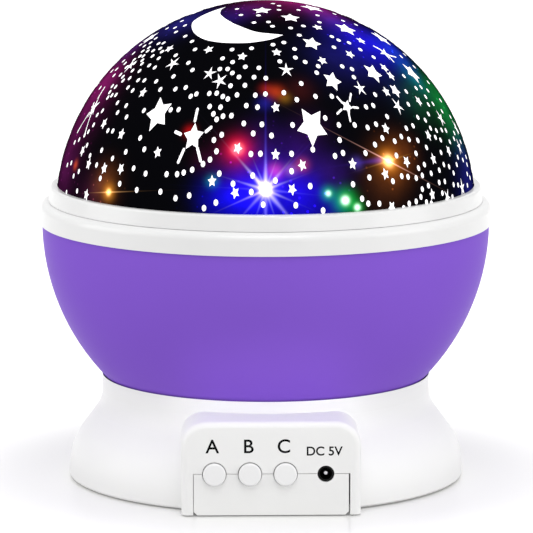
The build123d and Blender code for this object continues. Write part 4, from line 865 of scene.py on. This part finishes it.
def dome_row(radius):
    """Half section of a sphere round the dome's centre, as (radius, height) points up to its top."""
    start = math.asin((dome_low[2] - DOME_CENTRE.z) / radius)
    angles = [start + (math.pi / 2 - start) * k / DOME_STEPS for k in range(DOME_STEPS)]
    row = [(radius * math.cos(a), DOME_CENTRE.z + radius * math.sin(a)) for a in angles]
    return row + [(0, DOME_CENTRE.z + radius)]


def build_dome():
    """The dome's shell, and its print as thin plates on it."""
    shell = bmesh.new()
    lathe(shell, dome_row(DOME_R - DOME_WALL)[::-1] + dome_row(DOME_R), DOME_SEGMENTS)
    dome = object_from(shell, "dome_shell", dome_print_and_glow_material(), "dome")
    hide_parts("star_dome")
    dots, stars, moon = bmesh.new(), bmesh.new(), bmesh.new()
    outer_edge = smooth_row(MOON_OUTER)
    add_strip(moon, outer_edge, smooth_row(MOON_INNER))
    taken = [(d, MOON_CLEAR) for d in outer_edge[::MOON_EVERY]]
    front_print(dots, stars, taken)
    back_print(dots, stars, taken)
    window = lit_window()
    for bm, name in ((moon, "moon_window"), (stars, "star_windows"), (dots, "dot_windows")):
        object_from(bm, name, window, "dome", smooth=False)


def finish_nodes():
    """Give every CAD node its material."""
    white = moulded("white_abs", rgb(237, 237, 236), 0.4, coat=0.03, specular=0.25)
    # the rim and collar are the same white plastic as the base, set darker (224 against 237) as painted shade
    white_painted_shade_ring = moulded("white_abs_ring_painted_shade", rgb(224, 224, 224), 0.3, coat=0.3)
    fine_white = moulded("white_abs_fine_texture", rgb(236, 236, 235), 0.5, grain=4000.0, depth=0.03)
    tray = moulded("white_reflector", rgb(242, 242, 243), 0.25, coat=0.3)
    button = moulded("glossy_white", rgb(234, 234, 234), 0.22, coat=0.4)
    purple = moulded("purple_abs", rgb(130, 88, 204), 0.42, specular=0.02)
    black = moulded("black_plastic", rgb(10, 10, 11), 0.35, specular=0.15)
    nylon = moulded("natural_nylon", rgb(236, 230, 212), 0.5)
    rubber = moulded("grey_rubber", rgb(150, 150, 152), 0.8, grain=3000.0, depth=0.05, specular=0.3)
    steel = brushed("plated_steel", rgb(196, 196, 198), 0.3)
    screw = brushed("nickel_screw", rgb(206, 205, 200), 0.22, (900, 900, 900))
    can = brushed("motor_can", rgb(186, 186, 190), 0.34, (40, 40, 2500))
    sheath = moulded("red_sheath", rgb(176, 26, 30), 0.45)
    green = circuit_board("green_board", rgb(18, 96, 52), rgb(36, 128, 70))
    white_board = circuit_board("white_board", rgb(228, 228, 226), rgb(206, 206, 202))
    finishes = {
        white: ("base_shell",),
        white_painted_shade_ring: ("bowl_rim", "dome_collar"),
        fine_white: ("base_plate", "battery_door", "led_post"),
        tray: ("reflector_tray",),
        button: ("button_a", "button_b", "button_c"),
        purple: ("bowl_shell",),
        black: ("dc_jack", "board_parts", "tact_switches", "plunger_a", "plunger_b", "plunger_c"),
        nylon: ("pinion", "drive_gear", "thrust_washer", "bowl_bush"),
        rubber: ("rubber_feet",),
        steel: ("jack_pin", "motor_shaft", "retaining_clip", "contact_springs", "contact_plates"),
        screw: ("base_screws", "motor_screws", "gear_screws", "post_screws", "led_board_screws",
                "tray_screws", "door_screw"),
        can: ("gear_motor",),
        sheath: ("led_cable", "motor_leads", "battery_leads"),
        green: ("control_board",),
        white_board: ("led_board",),
        cell_sleeve(): ("battery_cells",),
        epoxy("epoxy_white", rgb(250, 248, 240), 0.6): ("led_white",),
        epoxy("epoxy_red", rgb(235, 40, 36), 0.5): ("led_red",),
        epoxy("epoxy_green", rgb(40, 210, 90), 0.5): ("led_green",),
        epoxy("epoxy_blue", rgb(50, 80, 240), 0.5): ("led_blue",),
    }
    for material, names in finishes.items():
        for name in names:
            for slot in nodes[name].material_slots:
                slot.material = material


# Lettering on the front panel: name, words, x and z of its middle, cap height, in mm.
LETTERS = (
    ("letter_a", "A", -16.4, 19.7, 3.6),
    ("letter_b", "B", -6.4, 19.7, 3.6),
    ("letter_c", "C", 3.5, 19.7, 3.6),
    ("socket_words", "DC 5V", 14.7, 18.35, 2.35),
)
INK_PROUD = 0.02 * MM
INK_BOLD = 0.06 * MM           # widens the built-in font's thin strokes
FONT_CAP = 0.66                # the font's cap height, as a share of its size


def lettering():
    """Plain printed letters, as thin plates on the panel."""
    panel_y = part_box("base_shell")[0][1]
    ink = moulded("black_ink", rgb(8, 8, 9), 0.5, specular=0.05)
    for name, words, x, z, cap in LETTERS:
        curve = bpy.data.curves.new(name, "FONT")
        curve.body = words
        curve.align_x = "CENTER"
        curve.align_y = "CENTER"
        curve.size = cap * MM / FONT_CAP
        curve.offset = INK_BOLD
        curve.extrude = INK_PROUD
        text = bpy.data.objects.new(name + "_curve", curve)
        bpy.context.scene.collection.objects.link(text)
        bpy.context.view_layer.update()
        mesh = bpy.data.meshes.new_from_object(text.evaluated_get(bpy.context.evaluated_depsgraph_get()))
        bpy.data.objects.remove(text)
        mesh.materials.clear()
        mesh.materials.append(ink)
        place = Matrix.Translation((x * MM, panel_y, z * MM))
        mesh.transform(place @ Matrix.Rotation(math.pi / 2, 4, "X"))
        letter = bpy.data.objects.new(name, mesh)
        bpy.context.scene.collection.objects.link(letter)
        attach(letter, "base")


# ================================ studio ================================

def make_floor():
    """A plain floor under the lamp's feet."""
    bm = bmesh.new()
    bmesh.ops.create_grid(bm, x_segments=2, y_segments=2, size=FLOOR_HALF)
    mesh = bpy.data.meshes.new("studio_floor")
    bm.to_mesh(mesh)
    bm.free()
    mesh.materials.append(floor_material())
    floor = bpy.data.objects.new("studio_floor", mesh)
    bpy.context.scene.collection.objects.link(floor)


NECK = Vector((0.0, -43.0, 31.0)) * MM  # on the base's neck, just over the control box
# Lamps: name, place, width, watts, and for the narrow one its aim, spread and height too.
LAMPS = (
    ("top_softbox", (0.0, -0.6, 1.1), 0.7, 3.9),
    ("front_softbox", (0.65, -1.15, 0.25), 0.7, 0.8),
    ("left_softbox", (-1.15, 0.0, 0.45), 0.8, 3.2),
    ("right_softbox", (1.1, -0.35, 0.45), 0.8, 3.0),
    ("neck_lamp", (0.0, -0.85, 0.42), 0.05, 0.0008, NECK, math.radians(1.8), 0.006),
)
WORLD_LIGHT = 0.84             # the world's strength as a light; what it shows has a strength of 1


def softbox(name, place, size, power, aim=CAM_AIM, spread=math.pi, height=None):
    """An area lamp turned towards a place on the part; square unless it has a height."""
    data = bpy.data.lights.new(name, "AREA")
    data.shape = "RECTANGLE"
    data.size = size
    data.size_y = height or size
    data.energy = power
    data.spread = spread
    lamp = bpy.data.objects.new(name, data)
    lamp.location = place
    lamp.rotation_euler = (aim - Vector(place)).to_track_quat("-Z", "Y").to_euler()
    bpy.context.scene.collection.objects.link(lamp)


def light_scene():
    """Soft lamps from all sides in a white world."""
    for lamp in LAMPS:
        softbox(*lamp)
    world = bpy.data.worlds.new("studio")
    world.use_nodes = True
    tree = world.node_tree
    background = tree.nodes["Background"]
    background.inputs["Color"].default_value = (1, 1, 1, 1)
    strength = ranged(tree, seen_plain(tree), WORLD_LIGHT, 1.0)
    tree.links.new(strength, background.inputs["Strength"])
    bpy.context.scene.world = world


finish_nodes()
build_dome()
lettering()
make_floor()
light_scene()
bpy.context.scene.view_settings.view_transform = "Standard"
